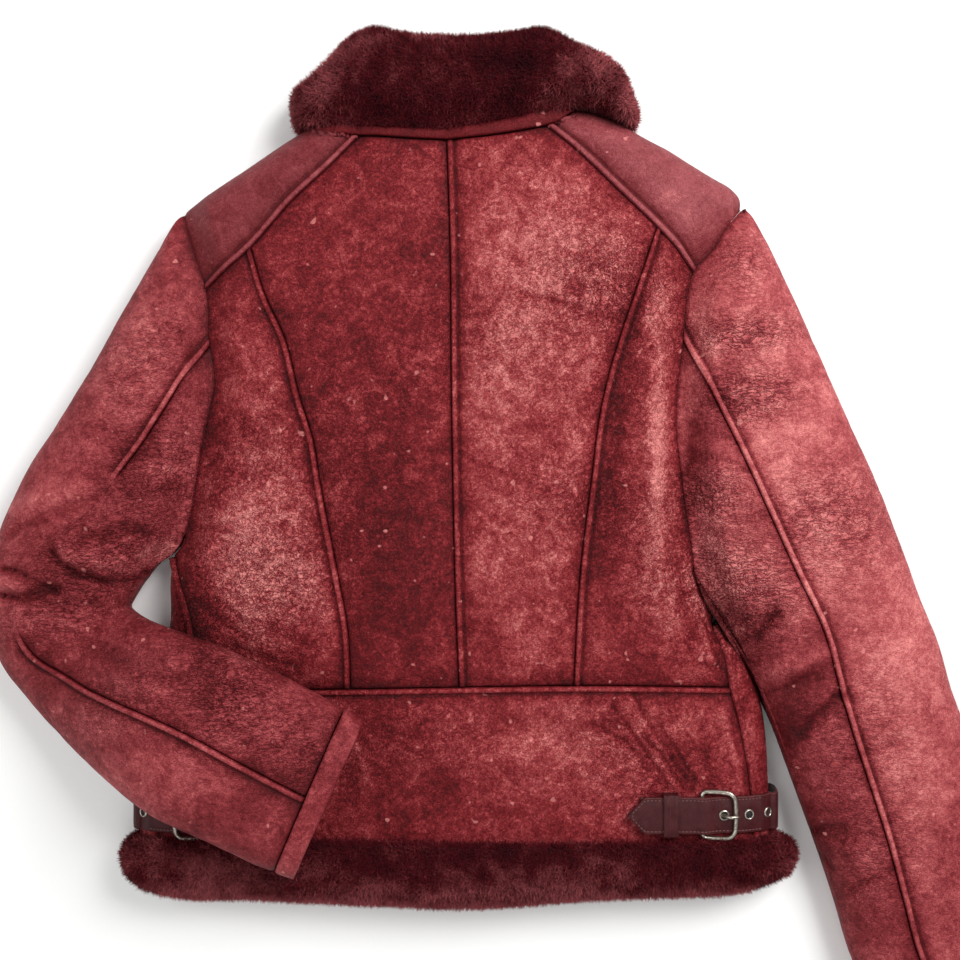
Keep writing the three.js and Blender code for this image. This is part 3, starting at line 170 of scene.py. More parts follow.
RIGHT_FOLDS = [
    (216, -118, 234, -98, 5, -4), (226, -146, 268, -124, 6, 3.5), (230, -158, 262, -142, 4, -3.5),
    (250, -188, 280, -158, 6, -3), (258, -262, 302, -258, 5, -2.5), (180, 105, 215, 135, 8, -2),
    (262, 20, 300, 30, 14, -1.6), (330, -180, 345, -240, 16, 1.6),
]

# Creases placed where the photograph shows them: pixel x and y of their points, reach and rise in mm
CREASES = [
    (520, 294, 562, 301, 1.6, -0.9), (548, 299, 628, 322, 1.8, -1.2), (600, 268, 636, 296, 1.5, -0.8),
    (612, 300, 640, 334, 1.7, -1.0), (586, 282, 622, 286, 1.3, -0.7), (455, 452, 560, 496, 2.6, -0.7),
    (310, 392, 352, 402, 2.0, -0.7), (300, 430, 340, 436, 2.0, -0.6), (228, 470, 262, 486, 2.2, -0.9),
    (222, 520, 262, 508, 2.4, 0.9), (196, 600, 246, 640, 2.6, -1.1), (214, 590, 262, 626, 2.2, 0.8),
    (232, 646, 296, 668, 2.0, -0.9), (252, 620, 322, 652, 1.8, -0.8), (262, 600, 318, 612, 1.6, -0.7),
    (596, 460, 612, 560, 1.8, 0.5), (606, 452, 622, 548, 1.8, -0.5), (688, 560, 712, 660, 4.0, 0.9),
    (672, 548, 690, 650, 4.0, -0.8), (700, 620, 728, 676, 2.6, -1.0), (640, 654, 720, 668, 2.4, -0.7),
    (590, 722, 628, 744, 660, 784, 1.6, -1.3), (612, 706, 630, 728, 668, 786, 1.6, -1.5), (634, 694, 650, 726, 672, 758, 1.8, -1.8),
    (672, 758, 693, 789, 1.8, -1.8), (644, 738, 662, 756, 684, 787, 1.6, -1.7), (660, 726, 676, 750, 697, 783, 1.6, -1.6),
    (640, 716, 660, 744, 680, 768, 1.6, 0.8), (628, 720, 650, 752, 676, 788, 1.6, 0.8), (654, 750, 676, 776, 1.4, 0.7),
    (560, 772, 620, 790, 2.0, -0.6), (700, 722, 712, 790, 2.6, -0.8), (724, 716, 742, 790, 2.4, 0.9),
    (380, 716, 430, 724, 2.2, -0.6), (340, 700, 372, 792, 3.0, 0.8), (420, 770, 470, 812, 2.4, -0.5),
    (168, 322, 196, 350, 2.0, -0.8), (150, 360, 190, 384, 2.2, -0.8), (120, 402, 170, 410, 2.2, -0.7),
    (110, 450, 180, 458, 2.0, -0.7), (150, 470, 204, 462, 2.2, 0.8), (128, 498, 190, 486, 1.8, -0.8),
    (120, 545, 146, 572, 1.6, -0.8), (96, 566, 150, 576, 1.5, 0.7), (30, 590, 74, 616, 2.0, -0.9),
    (60, 620, 130, 648, 2.2, 0.8), (214, 690, 232, 724, 1.6, -0.9), (232, 684, 240, 716, 1.6, -0.8),
    (300, 716, 322, 776, 2.2, -0.9), (180, 740, 214, 772, 2.0, -0.8), (90, 690, 130, 712, 2.0, -0.7),
    (704, 426, 744, 446, 1.6, -0.9), (700, 452, 750, 470, 1.5, -0.9), (722, 400, 776, 420, 1.6, -0.8),
    (726, 380, 790, 384, 1.6, -0.8), (736, 418, 782, 404, 1.5, 0.7), (742, 470, 782, 456, 1.4, -0.9),
    (694, 484, 736, 492, 1.5, -0.8), (692, 500, 752, 506, 1.6, -0.9), (730, 522, 764, 512, 1.4, -0.8),
    (790, 520, 842, 498, 2.0, -1.0), (800, 506, 856, 494, 1.8, 0.8), (812, 546, 870, 538, 1.8, -0.7),
    (704, 560, 740, 580, 1.8, -0.8), (722, 592, 768, 586, 1.8, 0.8), (822, 610, 866, 636, 2.2, -0.7),
    (756, 640, 776, 612, 2.0, -1.3), (799, 736, 838, 694, 2.2, -1.2), (807, 830, 869, 822, 2.0, -1.0),
    (846, 760, 900, 742, 2.4, -0.8), (850, 890, 900, 866, 2.4, -0.8), (820, 853, 832, 869, 1.8, -0.9),
]

# Fields of fine wrinkles: pixel x and y of the middle, half widths, turn in degrees and strength
WRINKLE_FIELDS = [
    (610, 285, 62, 44, -25, 0.9), (500, 330, 70, 50, 20, 0.3), (600, 505, 34, 70, 80, 0.55),
    (710, 585, 34, 90, 80, 0.5), (620, 400, 50, 60, 20, 0.25), (250, 585, 74, 62, 20, 0.95),
    (250, 450, 40, 60, -15, 0.35), (640, 760, 76, 44, -35, 0.4), (420, 740, 70, 40, 10, 0.25),
    (340, 470, 60, 90, 5, 0.3), (140, 360, 44, 60, -40, 0.4), (160, 470, 60, 50, 10, 0.5),
    (110, 555, 70, 34, 0, 0.6), (60, 610, 60, 36, 20, 0.5), (230, 700, 60, 44, 60, 0.6),
    (120, 700, 70, 36, 30, 0.4), (300, 750, 40, 44, 60, 0.45), (748, 396, 44, 24, 10, 0.9), (740, 335, 52, 18, 8, 0.9),
    (710, 492, 34, 26, 0, 0.8), (742, 262, 26, 26, 0, 0.45), (716, 580, 26, 60, 8, 0.5), (830, 520, 56, 50, -20, 0.55),
    (740, 600, 50, 60, 0, 0.5), (850, 740, 60, 70, -30, 0.3), (870, 860, 50, 60, -30, 0.35),
]

# Light and dark patches, lighter above 0, partly the fleece's and the hide's own uneven colour and partly painted light
# and shade: pixel x and y of the middle, half widths, turn in degrees and amount
FLEECE_TONES_AND_PAINTED_SHADE = [
    (318, 100, 34, 40, 0, 0.55), (345, 62, 26, 22, -40, 0.3), (372, 96, 26, 34, 0, -0.35), (430, 42, 60, 8, 0, 0.2),
    (460, 90, 50, 26, 0, -0.1), (400, 110, 60, 12, 0, -0.25), (516, 60, 44, 30, 10, -0.5), (560, 88, 22, 22, 0, 0.35),
    (600, 70, 34, 26, 40, 0.45), (606, 108, 26, 10, 20, -0.45), (632, 108, 12, 26, 0, 0.7), (500, 110, 60, 10, -8, -0.2),
    (135, 850, 30, 26, 0, 0.5), (220, 880, 70, 18, 10, 0.3), (310, 880, 70, 16, 0, 0.0), (480, 858, 140, 12, 0, -0.35),
    (430, 890, 120, 10, 0, 0.35), (560, 888, 60, 12, 0, 0.3), (660, 852, 80, 14, 0, -0.1), (720, 870, 60, 16, 0, -0.35),
    (775, 850, 26, 26, 0, 0.3), (600, 862, 80, 14, 0, 0.25), (634, 100, 14, 20, 0, 0.4), (340, 58, 20, 16, 0, 0.2),
    (602, 60, 20, 14, 40, 0.3), (620, 100, 18, 16, 0, 0.4),
]
# The hide's patches paint shade into fold valleys, beside seams and along the sleeves' inner edges, and paint light
# onto fold ridges and the right sleeve.
HIDE_TONES_AND_PAINTED_LIGHT = [
    (800, 420, 110, 230, -22, 0.52), (880, 680, 90, 170, -20, 0.5), (900, 900, 80, 110, -20, 0.4),
    (735, 500, 44, 120, -12, 0.05), (748, 300, 10, 40, -20, 0.35), (770, 350, 20, 14, 0, 0.25), (657, 450, 10, 150, -1, 0.5),
    (618, 440, 9, 95, -6, -0.4), (690, 470, 9, 60, -4, -0.5), (650, 300, 24, 40, 20, 0.35), (800, 720, 40, 110, -20, -0.42), (770, 640, 34, 60, -20, -0.35),
    (540, 240, 90, 80, 0, 0.42), (570, 350, 80, 60, 0, 0.2), (500, 600, 70, 120, 0, 0.25),
    (400, 340, 70, 80, 0, -0.3), (390, 560, 64, 110, 0, -0.55), (340, 640, 22, 50, 0, 0.3),
    (375, 235, 80, 22, 24, 0.3), (262, 590, 56, 76, 0, 0.62), (236, 430, 24, 90, 0, 0.12),
    (285, 430, 22, 110, 14, 0.2), (614, 450, 18, 150, -8, -0.25), (612, 610, 22, 90, 5, -0.25),
    (672, 620, 20, 50, -6, 0.3), (700, 640, 26, 70, -6, 0.05), (390, 790, 90, 44, 0, -0.1),
    (580, 760, 150, 50, 0, 0.32), (740, 760, 26, 60, 0, 0.25), (225, 205, 80, 40, 38, -0.1),
    (690, 190, 60, 40, -38, 0.22), (150, 380, 50, 110, 25, 0.22), (60, 500, 50, 50, 0, 0.0),
    (110, 548, 60, 26, 0, -0.3), (110, 640, 90, 34, 25, -0.25), (160, 770, 120, 26, 28, 0.2),
    (240, 690, 90, 34, 28, -0.35), (330, 790, 24, 60, 20, 0.15), (230, 440, 30, 60, 0, -0.1),
    (40, 590, 40, 20, 0, -0.2), (200, 640, 20, 50, 10, -0.7), (480, 300, 40, 200, 0, 0.1),
    (715, 400, 20, 60, -15, -0.2), (700, 470, 18, 70, -10, -0.45), (210, 420, 12, 90, 10, -0.3),
    (400, 225, 70, 34, 0, -0.35), (308, 285, 34, 40, 0, -0.3), (500, 400, 60, 130, 0, 0.26), (572, 400, 46, 150, 0, 0.2),
    (245, 520, 50, 60, 0, 0.3), (325, 560, 26, 80, 0, 0.3), (495, 660, 24, 60, 0, -0.35), (582, 660, 26, 60, 0, 0.25),
    (662, 420, 18, 110, 0, 0.3), (655, 645, 22, 50, 0, -0.3), (700, 350, 20, 46, 0, 0.5), (742, 225, 24, 30, 0, 0.3),
    (815, 580, 28, 70, -20, 0.35), (785, 730, 24, 80, -18, -0.45), (825, 830, 36, 70, -18, -0.6), (860, 920, 50, 60, -10, -0.5),
    (925, 900, 40, 90, -20, -0.3), (90, 585, 50, 26, 0, -0.35), (255, 748, 30, 24, 20, -0.4), (205, 822, 60, 18, 25, -0.3),
    (140, 500, 60, 60, 0, -0.12), (182, 440, 10, 40, 0, -0.25), (400, 800, 80, 40, 0, -0.3), (480, 740, 40, 30, 0, -0.25),
    (692, 770, 40, 34, 0, -0.3), (752, 690, 12, 60, -22, -0.3),
]


def linear(red: int, green: int, blue: int) -> tuple[float, float, float]:
    """A colour given as a picture shows it, made linear."""
    return tuple(c / 12.92 if c <= 0.04045 else ((c + 0.055) / 1.055) ** 2.4 for c in (red / 255, green / 255, blue / 255))


def ease(t: Array) -> Array:
    """Smooth step from 0 to 1."""
    c = np.clip(t, 0.0, 1.0)
    return c * c * (3.0 - 2.0 * c)


def roll(distance: Array, reach: Array) -> Array:
    """A quarter round: 0 at the edge, 1 from `reach` inwards."""
    k = 1.0 - np.clip(distance / reach, 0.0, 1.0)
    return np.sqrt(1.0 - k * k)


def mix(a: Array, b: Array, t: Array) -> Array:
    """Linear blend from a to b."""
    return a + (b - a) * t


def smooth(rows: Sequence[Sequence[float]], parts: int = 4, plan: int = 2) -> Array:
    """Puts a smooth curve through the rows of a table.

    Args:
        rows: Points, or rows whose first columns are places in plan.
        parts: Steps between two rows.
        plan: How many leading columns measure how far apart two rows are.

    Returns:
        The denser table, with the given rows at every `parts`-th place.
    """
    p = np.array(rows, float)
    step = np.linalg.norm(np.diff(p[:, :plan], axis=0), axis=1)
    slope = np.diff(p, axis=0) / step[:, None]
    tangent = np.vstack([slope[:1], slope[-1:]])
    if len(p) > 2:
        a, b = step[:-1, None], step[1:, None]
        inner = (slope[:-1] * b + slope[1:] * a) / (a + b)
        tangent = np.vstack([slope[:1], inner, slope[-1:]])
    t = (np.arange(parts) / parts)[None, :, None]
    m0, m1 = tangent[:-1, None] * step[:, None, None], tangent[1:, None] * step[:, None, None]
    p0, p1 = p[:-1, None], p[1:, None]
    curve = ((2 * t**3 - 3 * t**2 + 1) * p0 + (t**3 - 2 * t**2 + t) * m0
             + (3 * t**2 - 2 * t**3) * p1 + (t**3 - t**2) * m1)
    return np.vstack([curve.reshape(-1, p.shape[1]), p[-1:]])


PARTS = 4
CURVES: dict[str, Array] = {name: smooth(points, PARTS) for name, points in LINES.items()}


def piece_of(name: str, first: int, last: int | None = None) -> Array:
    """The stretch of a named curve between two points of its table."""
    return CURVES[name][first * PARTS: None if last is None else last * PARTS + 1]


def lengths(line: Array) -> Array:
    """How far along a line each of its points is."""
    return np.concatenate([[0.0], np.cumsum(np.linalg.norm(np.diff(line[:, :2], axis=0), axis=1))])


def along(line: Array, share: Array) -> Array:
    """The points at shares of a line's length."""
    travelled = lengths(line)
    s = np.asarray(share) * travelled[-1]
    return np.stack([np.interp(s, travelled, line[:, k]) for k in range(line.shape[1])], axis=-1)


def distance(x: Array, y: Array, lines: Sequence[Array]) -> Array:
    """The distance in plan from points to the nearest of some lines."""
    best = np.full(np.shape(x), 1e12)
    for line in lines:
        for (ax, ay), (bx, by) in zip(line[:-1, :2], line[1:, :2]):
            dx, dy = bx - ax, by - ay
            t = np.clip(((x - ax) * dx + (y - ay) * dy) / (dx * dx + dy * dy + 1e-12), 0.0, 1.0)
            best = np.minimum(best, (x - ax - t * dx) ** 2 + (y - ay - t * dy) ** 2)
    return np.sqrt(best)


def inside(x: Array, y: Array, outline: Array) -> Array:
    """Whether points lie in a closed outline."""
    found = np.zeros(np.shape(x), bool)
    for (ax, ay), (bx, by) in zip(outline, np.roll(outline, -1, axis=0)):
        if ay != by:
            found ^= ((ay > y) != (by > y)) & (x < (bx - ax) * (y - ay) / (by - ay) + ax)
    return found


def at_x(line: Array, x: Array) -> Array:
    """The height y of a line that runs along x."""
    order = np.argsort(line[:, 0])
    return np.interp(x, line[order, 0], line[order, 1])


def at_y(line: Array, y: Array) -> Array:
    """The place x of a line that runs along y."""
    order = np.argsort(line[:, 1])
    return np.interp(y, line[order, 1], line[order, 0])


def lattice(x: Array, y: Array, seed: int) -> Array:
    """Smooth noise from -1 to 1 with a cell of 1."""
    table = np.random.default_rng(seed).uniform(-1.0, 1.0, (256, 256))
    xi, yi = np.floor(x).astype(int), np.floor(y).astype(int)
    u, v = ease(x - xi), ease(y - yi)
    x0, y0, x1, y1 = xi & 255, yi & 255, (xi + 1) & 255, (yi + 1) & 255
    return mix(mix(table[x0, y0], table[x1, y0], u), mix(table[x0, y1], table[x1, y1], u), v)


def noise(x: Array, y: Array, size: float, seed: int, octaves: int = 3) -> Array:
    """Layers of smooth noise, the largest with a cell of `size` millimetres."""
    total = np.zeros(np.shape(x))
    for k in range(octaves):
        total = total + lattice(x * 2**k / size + 7.3 * k, y * 2**k / size - 3.1 * k, seed + k) * 0.5**k
    return total / 1.6


def fold_rise(x: Array, y: Array, folds: Sequence[Sequence[float]]) -> Array:
    """Adds up soft ridges and troughs along lines: the points of each, its reach and its rise."""
    total = np.zeros(np.shape(x))
    for *line, reach, rise in folds:
        d = distance(x, y, [np.reshape(line, (-1, 2))]) / reach
        total += rise * np.exp(-d * d)
    return total


OUTLINE = [CURVES[name] for name in ("shoulder_left", "shoulder_right", "side_left", "side_right")]
ARMHOLES = [CURVES["armhole_left"], CURVES["armhole_right"]]
BACK_SEAMS = [CURVES[name] for name in (
    "centre_back", "side_back_left", "side_back_right", "saddle_left", "saddle_right", "waist")]


def armhole_top(x: Array, y: Array) -> Array:
    """Height of the armhole's valley, deepest at the shoulder tip and the underarm."""
    return RIM_TOP + (ARMHOLE_TOP - RIM_TOP) * roll(distance(x, y, OUTLINE), 2 * TOP_ROLL)


def body_top(x: Array, y: Array) -> Array:
    """Height of the jacket's back."""
    full = mix(WAIST_TOP, BACK_TOP, ease((y - WAIST_Y) / 110))
    edge = distance(x, y, OUTLINE)
    dip = SEAM_DIP * np.exp(-((distance(x, y, BACK_SEAMS) / SEAM_REACH) ** 2))
    rise = (fold_rise(x, y, BODY_FOLDS) - dip) * ease(edge / TOP_ROLL)
    free = RIM_TOP + (full - RIM_TOP) * roll(edge, TOP_ROLL) + rise
    return mix(armhole_top(x, y), free, ease(distance(x, y, ARMHOLES) / ARMHOLE_REACH))


def under_rim(d: Array) -> Array:
    """Height of the underside near a free edge at distance d."""
    return RIM_LOW * (1.0 - roll(d, LOW_ROLL))


def to_pixels(x: Array, y: Array, z: Array) -> tuple[Array, Array]:
    """Where the photograph shows a point."""
    scale = (CAMERA_HEIGHT - PIXEL_PLANE) / (PIXEL * (CAMERA_HEIGHT - z))
    return (x - CAMERA_X) * scale + PICTURE / 2, PICTURE / 2 - y * scale


def patch_field(px: Array, py: Array, patches: Sequence[Sequence[float]]) -> Array:
    """Adds up soft oval patches: middle, half widths, turn and amount."""
    total = np.zeros(np.shape(px))
    for cx, cy, rx, ry, turn, amount in patches:
        c, s = math.cos(math.radians(turn)), math.sin(math.radians(turn))
        a = ((px - cx) * c - (py - cy) * s) / rx
        b = ((px - cx) * s + (py - cy) * c) / ry
        total += amount * np.exp(-(a * a + b * b))
    return total


def crease_relief(points: Array) -> tuple[Array, Array, Array]:
    """Works out the fine relief of hide from where the photograph shows each point.

    Args:
        points: A grid of places in millimetres.

    Returns:
        The relief in millimetres, how wrinkled each point is and how light its colour is, partly its own uneven colour
        and partly painted light and shade.
    """
    x, y, z = points[..., 0], points[..., 1], points[..., 2]
    px, py = to_pixels(x, y, z)
    top = z > 13.0
    hand = fold_rise(px * 0.73, py * 0.73, [(*(0.73 * place for place in line), reach, rise) for *line, reach, rise in CREASES])
    fine = np.clip(patch_field(px, py, WRINKLE_FIELDS), 0.0, 1.2) + 0.12
    bend_x = x + 6.0 * noise(x, y, 24.0, 41)
    bend_y = y + 6.0 * noise(x, y, 24.0, 53)
    lines = -np.exp(-(noise(bend_x, bend_y, 16.0, 11, 2) / 0.12) ** 2)
    soft = noise(x, y, 34.0, 23, 3)
    relief = np.where(top, hand, 0.35 * noise(x, y, 26.0, 71)) + 0.4 * lines * (fine + 0.25) + 0.6 * soft
    # The colour is made darker in the creases' troughs and the wrinkle lines, a painted shade, and lighter on the
    # creases' ridges, partly wear and partly a painted highlight.
    tone = np.where(top, patch_field(px, py, HIDE_TONES_AND_PAINTED_LIGHT), 0.0) + (0.35 * hand + 0.14 * lines * (fine + 0.25)) * top
    return relief, fine, tone


class Edge(Enum):
    """How the rim of a cut piece is finished: columns are distances from it and the relief there."""

    LAPPED = ((0, 0.3, 0.6, 1.0, 1.6, 2.4, 3.1, 3.6, 3.9, 4.2, 4.8, 5.8, 7.5, 12.0),
              (-1.2, 0.2, 0.8, 1.15, 1.3, 1.3, 1.2, 1.0, 0.4, -0.5, -0.95, -0.6, -0.25, 0.0))
    TUCKED = ((0, 0.3, 0.7, 1.3, 2.1, 3.1, 4.5, 7.0), (-2.0, -1.5, -1.0, -0.6, -0.35, -0.2, -0.1, 0.0))
    JOINED = ((0, 0.7, 1.6, 3.0, 5.0, 8.0, 12.0), (-1.5, -1.3, -1.0, -0.6, -0.3, -0.1, 0.0))
    FREE = ((0, 1), (0, 0))

    def relief(self, d: Array) -> Array:
        """Relief at distances from the edge."""
        return np.interp(d, self.value[0], self.value[1])

    def shade(self, d: Array) -> Array:
        """Painted shade: how much darker the hide is made at distances from the edge, along the edge itself and in the
        valley beside the seam.
        """
        if self is Edge.FREE:
            return np.zeros(np.shape(d))
        if self is Edge.LAPPED:
            return -0.5 * np.exp(-((d - 5.2) / 1.3) ** 2) - 0.35 * np.exp(-((d - 5.0) / 6) ** 2) * (d > 4) - 0.5 * np.exp(-(d / 0.6) ** 2)
        return -0.4 * np.exp(-(d / 2) ** 2) - 0.25 * np.exp(-(d / 7) ** 2) - 0.15 * np.exp(-(d / 16) ** 2)


SEAM_STEPS = np.array(Edge.LAPPED.value[0][:-1])


def spread(width: Array, step: float, near: Array = SEAM_STEPS) -> Array:
    """Shares of each width with fixed places near both ends and even steps between.

    Args:
        width: Widths, one for each row.
        step: About how far apart the even places are.
        near: Distances of the fixed places from an end.

    Returns:
        Shares from 0 to 1, one row for each width.
    """
    width = np.atleast_1d(np.asarray(width, float))[:, None]
    count = max(3, round((float(width.mean()) - 2 * near[-1]) / step))
    start, end = near[None] / width, 1.0 - near[::-1][None] / width
    inner = (np.arange(1, count) / count)[None]
    return np.hstack([start, mix(start[:, -1:], end[:, :1], inner), end])


def patch(top: Array, bottom: Array, start: Array, end: Array, step: float) -> tuple[Array, Array, Array]:
    """Fills four edges with a grid of places, closer together along the edges.

    Args:
        top: The first row's line, from start to end.
        bottom: The last row's line, from start to end.
        start: The first column's line, from top to bottom.
        end: The last column's line, from top to bottom.
        step: About how far apart the places are.

    Returns:
        The places, then each place's distances from the start and end edges, and from the top and
        bottom edges, as two arrays of pairs.
    """
    nominal = np.linspace(0.0, 1.0, 9)
    tall = np.linalg.norm(along(top, nominal) - along(bottom, nominal), axis=1)
    v_mean = spread(np.array([tall.mean()]), step)[0]
    width = np.linalg.norm(along(start, v_mean) - along(end, v_mean), axis=1)
    u = spread(width, step)
    height = np.interp(u, nominal, tall)
    fixed = np.minimum(v_mean, 1.0 - v_mean)[:, None] * tall.mean()
    near = np.where(fixed < SEAM_STEPS[-1] + 0.01, fixed / height, np.minimum(v_mean, 1 - v_mean)[:, None])
    v = np.where(v_mean[:, None] < 0.5, near, 1.0 - near)
    big_u, big_v = u[..., None], v[..., None]
    grid = ((1 - big_v) * along(top, u) + big_v * along(bottom, u)
            + (1 - big_u) * along(start, v) + big_u * along(end, v)
            - (1 - big_u) * (1 - big_v) * top[0] - big_u * (1 - big_v) * top[-1]
            - (1 - big_u) * big_v * bottom[0] - big_u * big_v * bottom[-1])
    across = np.stack([u * width[:, None], (1 - u) * width[:, None]], -1)
    down = np.stack([v * height, (1 - v) * height], -1)
    return grid, across, down


def grid_normals(points: Array, ring: bool = False) -> Array:
    """Unit normals of a grid of places; a ring's last column meets its first."""
    if ring:
        wide = np.concatenate([points[:, -1:], points, points[:, :1]], axis=1)
        across = (wide[:, 2:] - wide[:, :-2])
    else:
        across = np.gradient(points, axis=1)
    normal = np.cross(across, np.gradient(points, axis=0))
    return normal / np.maximum(np.linalg.norm(normal, axis=-1, keepdims=True), 1e-9)


@dataclass
class Surface:
    """Places and faces of a mesh in millimetres, with its named values at each place."""

    places: list[Array] = field(default_factory=list)
    faces: list[Array] = field(default_factory=list)
    values: dict[str, list[Array]] = field(default_factory=dict)
    finishes: list[Array] = field(default_factory=list)

    def add(self, places: Array, faces: Array, finish: int = 0, **values: Array) -> None:
        """Adds a closed part whose faces are turned outwards."""
        flat = places.reshape(-1, 3)
        corners = flat[faces]
        volume = np.einsum("ij,ij->i", corners[:, 0], np.cross(corners[:, 1], corners[:, 2])).sum()
        volume += np.einsum("ij,ij->i", corners[:, 0], np.cross(corners[:, 2], corners[:, 3])).sum()
        offset = sum(len(p) for p in self.places)
        self.places.append(flat)
        self.faces.append((faces[:, ::-1] if volume < 0 else faces) + offset)
        self.finishes.append(np.full(len(faces), finish))
        for name, value in values.items():
            self.values.setdefault(name, []).append(np.broadcast_to(value, flat.shape[:1]).ravel())

    def build(self, name: str, finishes: Sequence[bpy.types.Material]) -> bpy.types.Object:
        """Makes the object in metres, from the places that its faces use.

        Args:
            name: The piece's name.
            finishes: Materials, in the order of the faces' finish numbers.

        Returns:
            The object, at the origin.
        """
        mesh = bpy.data.meshes.new(name)
        faces = np.vstack(self.faces)
        used, order = np.unique(faces, return_inverse=True)
        places = np.vstack(self.places)[used] * MM
        corners = order.reshape(faces.shape).tolist()
        mesh.from_pydata(places.tolist(), [], [list(dict.fromkeys(face)) for face in corners])
        for key, parts in self.values.items():
            values = np.concatenate(parts)[used].astype(np.float32)
            mesh.attributes.new(key, "FLOAT", "POINT").data.foreach_set("value", values)
        for finish in finishes:
            mesh.materials.append(finish)
        mesh.polygons.foreach_set("material_index", np.concatenate(self.finishes).astype(np.int32))
        mesh.polygons.foreach_set("use_smooth", np.ones(len(faces), bool))
        mesh.update()
        piece = bpy.data.objects.new(name, mesh)
        bpy.context.scene.collection.objects.link(piece)
        return piece


def grid_faces(rows: int, columns: int, offset: int = 0, ring: bool = False) -> Array:
    """Four-sided faces of a grid, as indices."""
    i, j = np.meshgrid(np.arange(rows - 1), np.arange(columns if ring else columns - 1), indexing="ij")
    a = offset + i * columns + j
    b = offset + i * columns + (j + 1) % columns
    return np.stack([a, b, b + columns, a + columns], -1).reshape(-1, 4)


def seal_ring(n: int, m: int) -> Array:
    """Faces that join the last of n rings to the first."""
    j = np.arange(m)
    k = (j + 1) % m
    return np.stack([(n - 1) * m + j, (n - 1) * m + k, k, j], -1)


def thin_out(count: int) -> Array:
    """Rows that a hidden face keeps: all of those along its edges and every other one between."""
    near = min(len(SEAM_STEPS), count // 2)
    return np.concatenate([np.arange(near), np.arange(near, count - near, 2), np.arange(count - near, count)])


def close_sheet(outer: Array, inner: Array, thin: bool = False) -> tuple[Array, Array]:
    """Joins two grids of equal size along their borders into one closed shell.

    Args:
        outer: Places of the face that shows.
        inner: Places of the other face.
        thin: Whether the other face is hidden and uses fewer places.

    Returns:
        All places, and the faces over them; a face with three corners names one of them twice.
    """
    n, m = outer.shape[:2]
    border = np.concatenate([np.arange(m), np.arange(1, n) * m + m - 1,
                             (n - 1) * m + np.arange(m - 2, -1, -1), np.arange(n - 2, 0, -1) * m])
    rows, columns = (thin_out(n), thin_out(m)) if thin else (np.arange(n), np.arange(m))
    kept = np.isin(border // m, rows) & np.isin(border % m, columns)
    low = border[np.maximum.accumulate(np.where(kept, np.arange(len(border)), 0))] + n * m
    rim = np.stack([np.roll(border, -1), border, low, np.roll(low, -1)], -1)
    below = n * m + rows[:, None] * m + columns
    hidden = np.stack([below[1:, :-1], below[1:, 1:], below[:-1, 1:], below[:-1, :-1]], -1).reshape(-1, 4)
    faces = np.vstack([grid_faces(n, m), hidden, rim])
    return np.vstack([outer.reshape(-1, 3), inner.reshape(-1, 3)]), faces


class Nodes:
    """A node tree that is written as expressions."""

    def __init__(self, tree: bpy.types.NodeTree) -> None:
        """Keeps the tree."""
        self.tree = tree

    def add(self, kind: str, inputs: dict | None = None, **settings: object) -> bpy.types.Node:
        """Adds a node.

        Args:
            kind: The node's type name.
            inputs: Values or sockets, by the input's name or number.
            **settings: The node's own settings.

        Returns:
            The node.
        """
        node = self.tree.nodes.new(kind)
        for name, value in settings.items():
            setattr(node, name, value)
        for name, value in (inputs or {}).items():
            if isinstance(value, bpy.types.NodeSocket):
                self.tree.links.new(value, node.inputs[name])
            else:
                node.inputs[name].default_value = value
        return node

    def math(self, operation: str, a: object, b: object = 0.0, c: object = 0.0) -> bpy.types.NodeSocket:
        """A math node's result."""
        return self.add("ShaderNodeMath", {0: a, 1: b, 2: c}, operation=operation).outputs[0]

    def ranged(self, value: object, low: float, high: float, to_low: float = 0.0, to_high: float = 1.0) -> bpy.types.NodeSocket:
        """A value taken from one range to another and kept inside it."""
        return self.add("ShaderNodeMapRange", {0: value, 1: low, 2: high, 3: to_low, 4: to_high}).outputs[0]

    def noise(self, where: object, scale: float, detail: float = 3.0, rough: float = 0.55, twist: float = 0.0) -> bpy.types.NodeSocket:
        """Noise over some coordinates."""
        return self.add("ShaderNodeTexNoise", {"Vector": where, "Scale": scale, "Detail": detail, "Roughness": rough,
                                               "Distortion": twist}).outputs[0]

    def ramp(self, value: object, stops: Sequence[tuple[float, tuple[float, float, float]]]) -> bpy.types.NodeSocket:
        """Colours over a value."""
        node = self.add("ShaderNodeValToRGB", {0: value})
        elements = node.color_ramp.elements
        while len(elements) < len(stops):
            elements.new(0.5)
        for element, (place, colour) in zip(elements, stops):
            element.position = place
            element.color = (*colour, 1.0)
        return node.outputs[0]

    def blend(self, share: object, a: object, b: object, kind: str = "MIX") -> bpy.types.NodeSocket:
        """A blend of two colours."""
        node = self.add("ShaderNodeMix", {0: share}, data_type="RGBA", blend_type=kind)
        for socket, value in ((node.inputs[6], a), (node.inputs[7], b)):
            if isinstance(value, bpy.types.NodeSocket):
                self.tree.links.new(value, socket)
            else:
                socket.default_value = (*value, 1.0)
        return node.outputs[2]


def start_material(name: str) -> tuple[bpy.types.Material, Nodes, bpy.types.Node]:
    """A new material, its nodes and its shader."""
    material = bpy.data.materials.new(name)
    material.use_nodes = True
    return material, Nodes(material.node_tree), material.node_tree.nodes["Principled BSDF"]


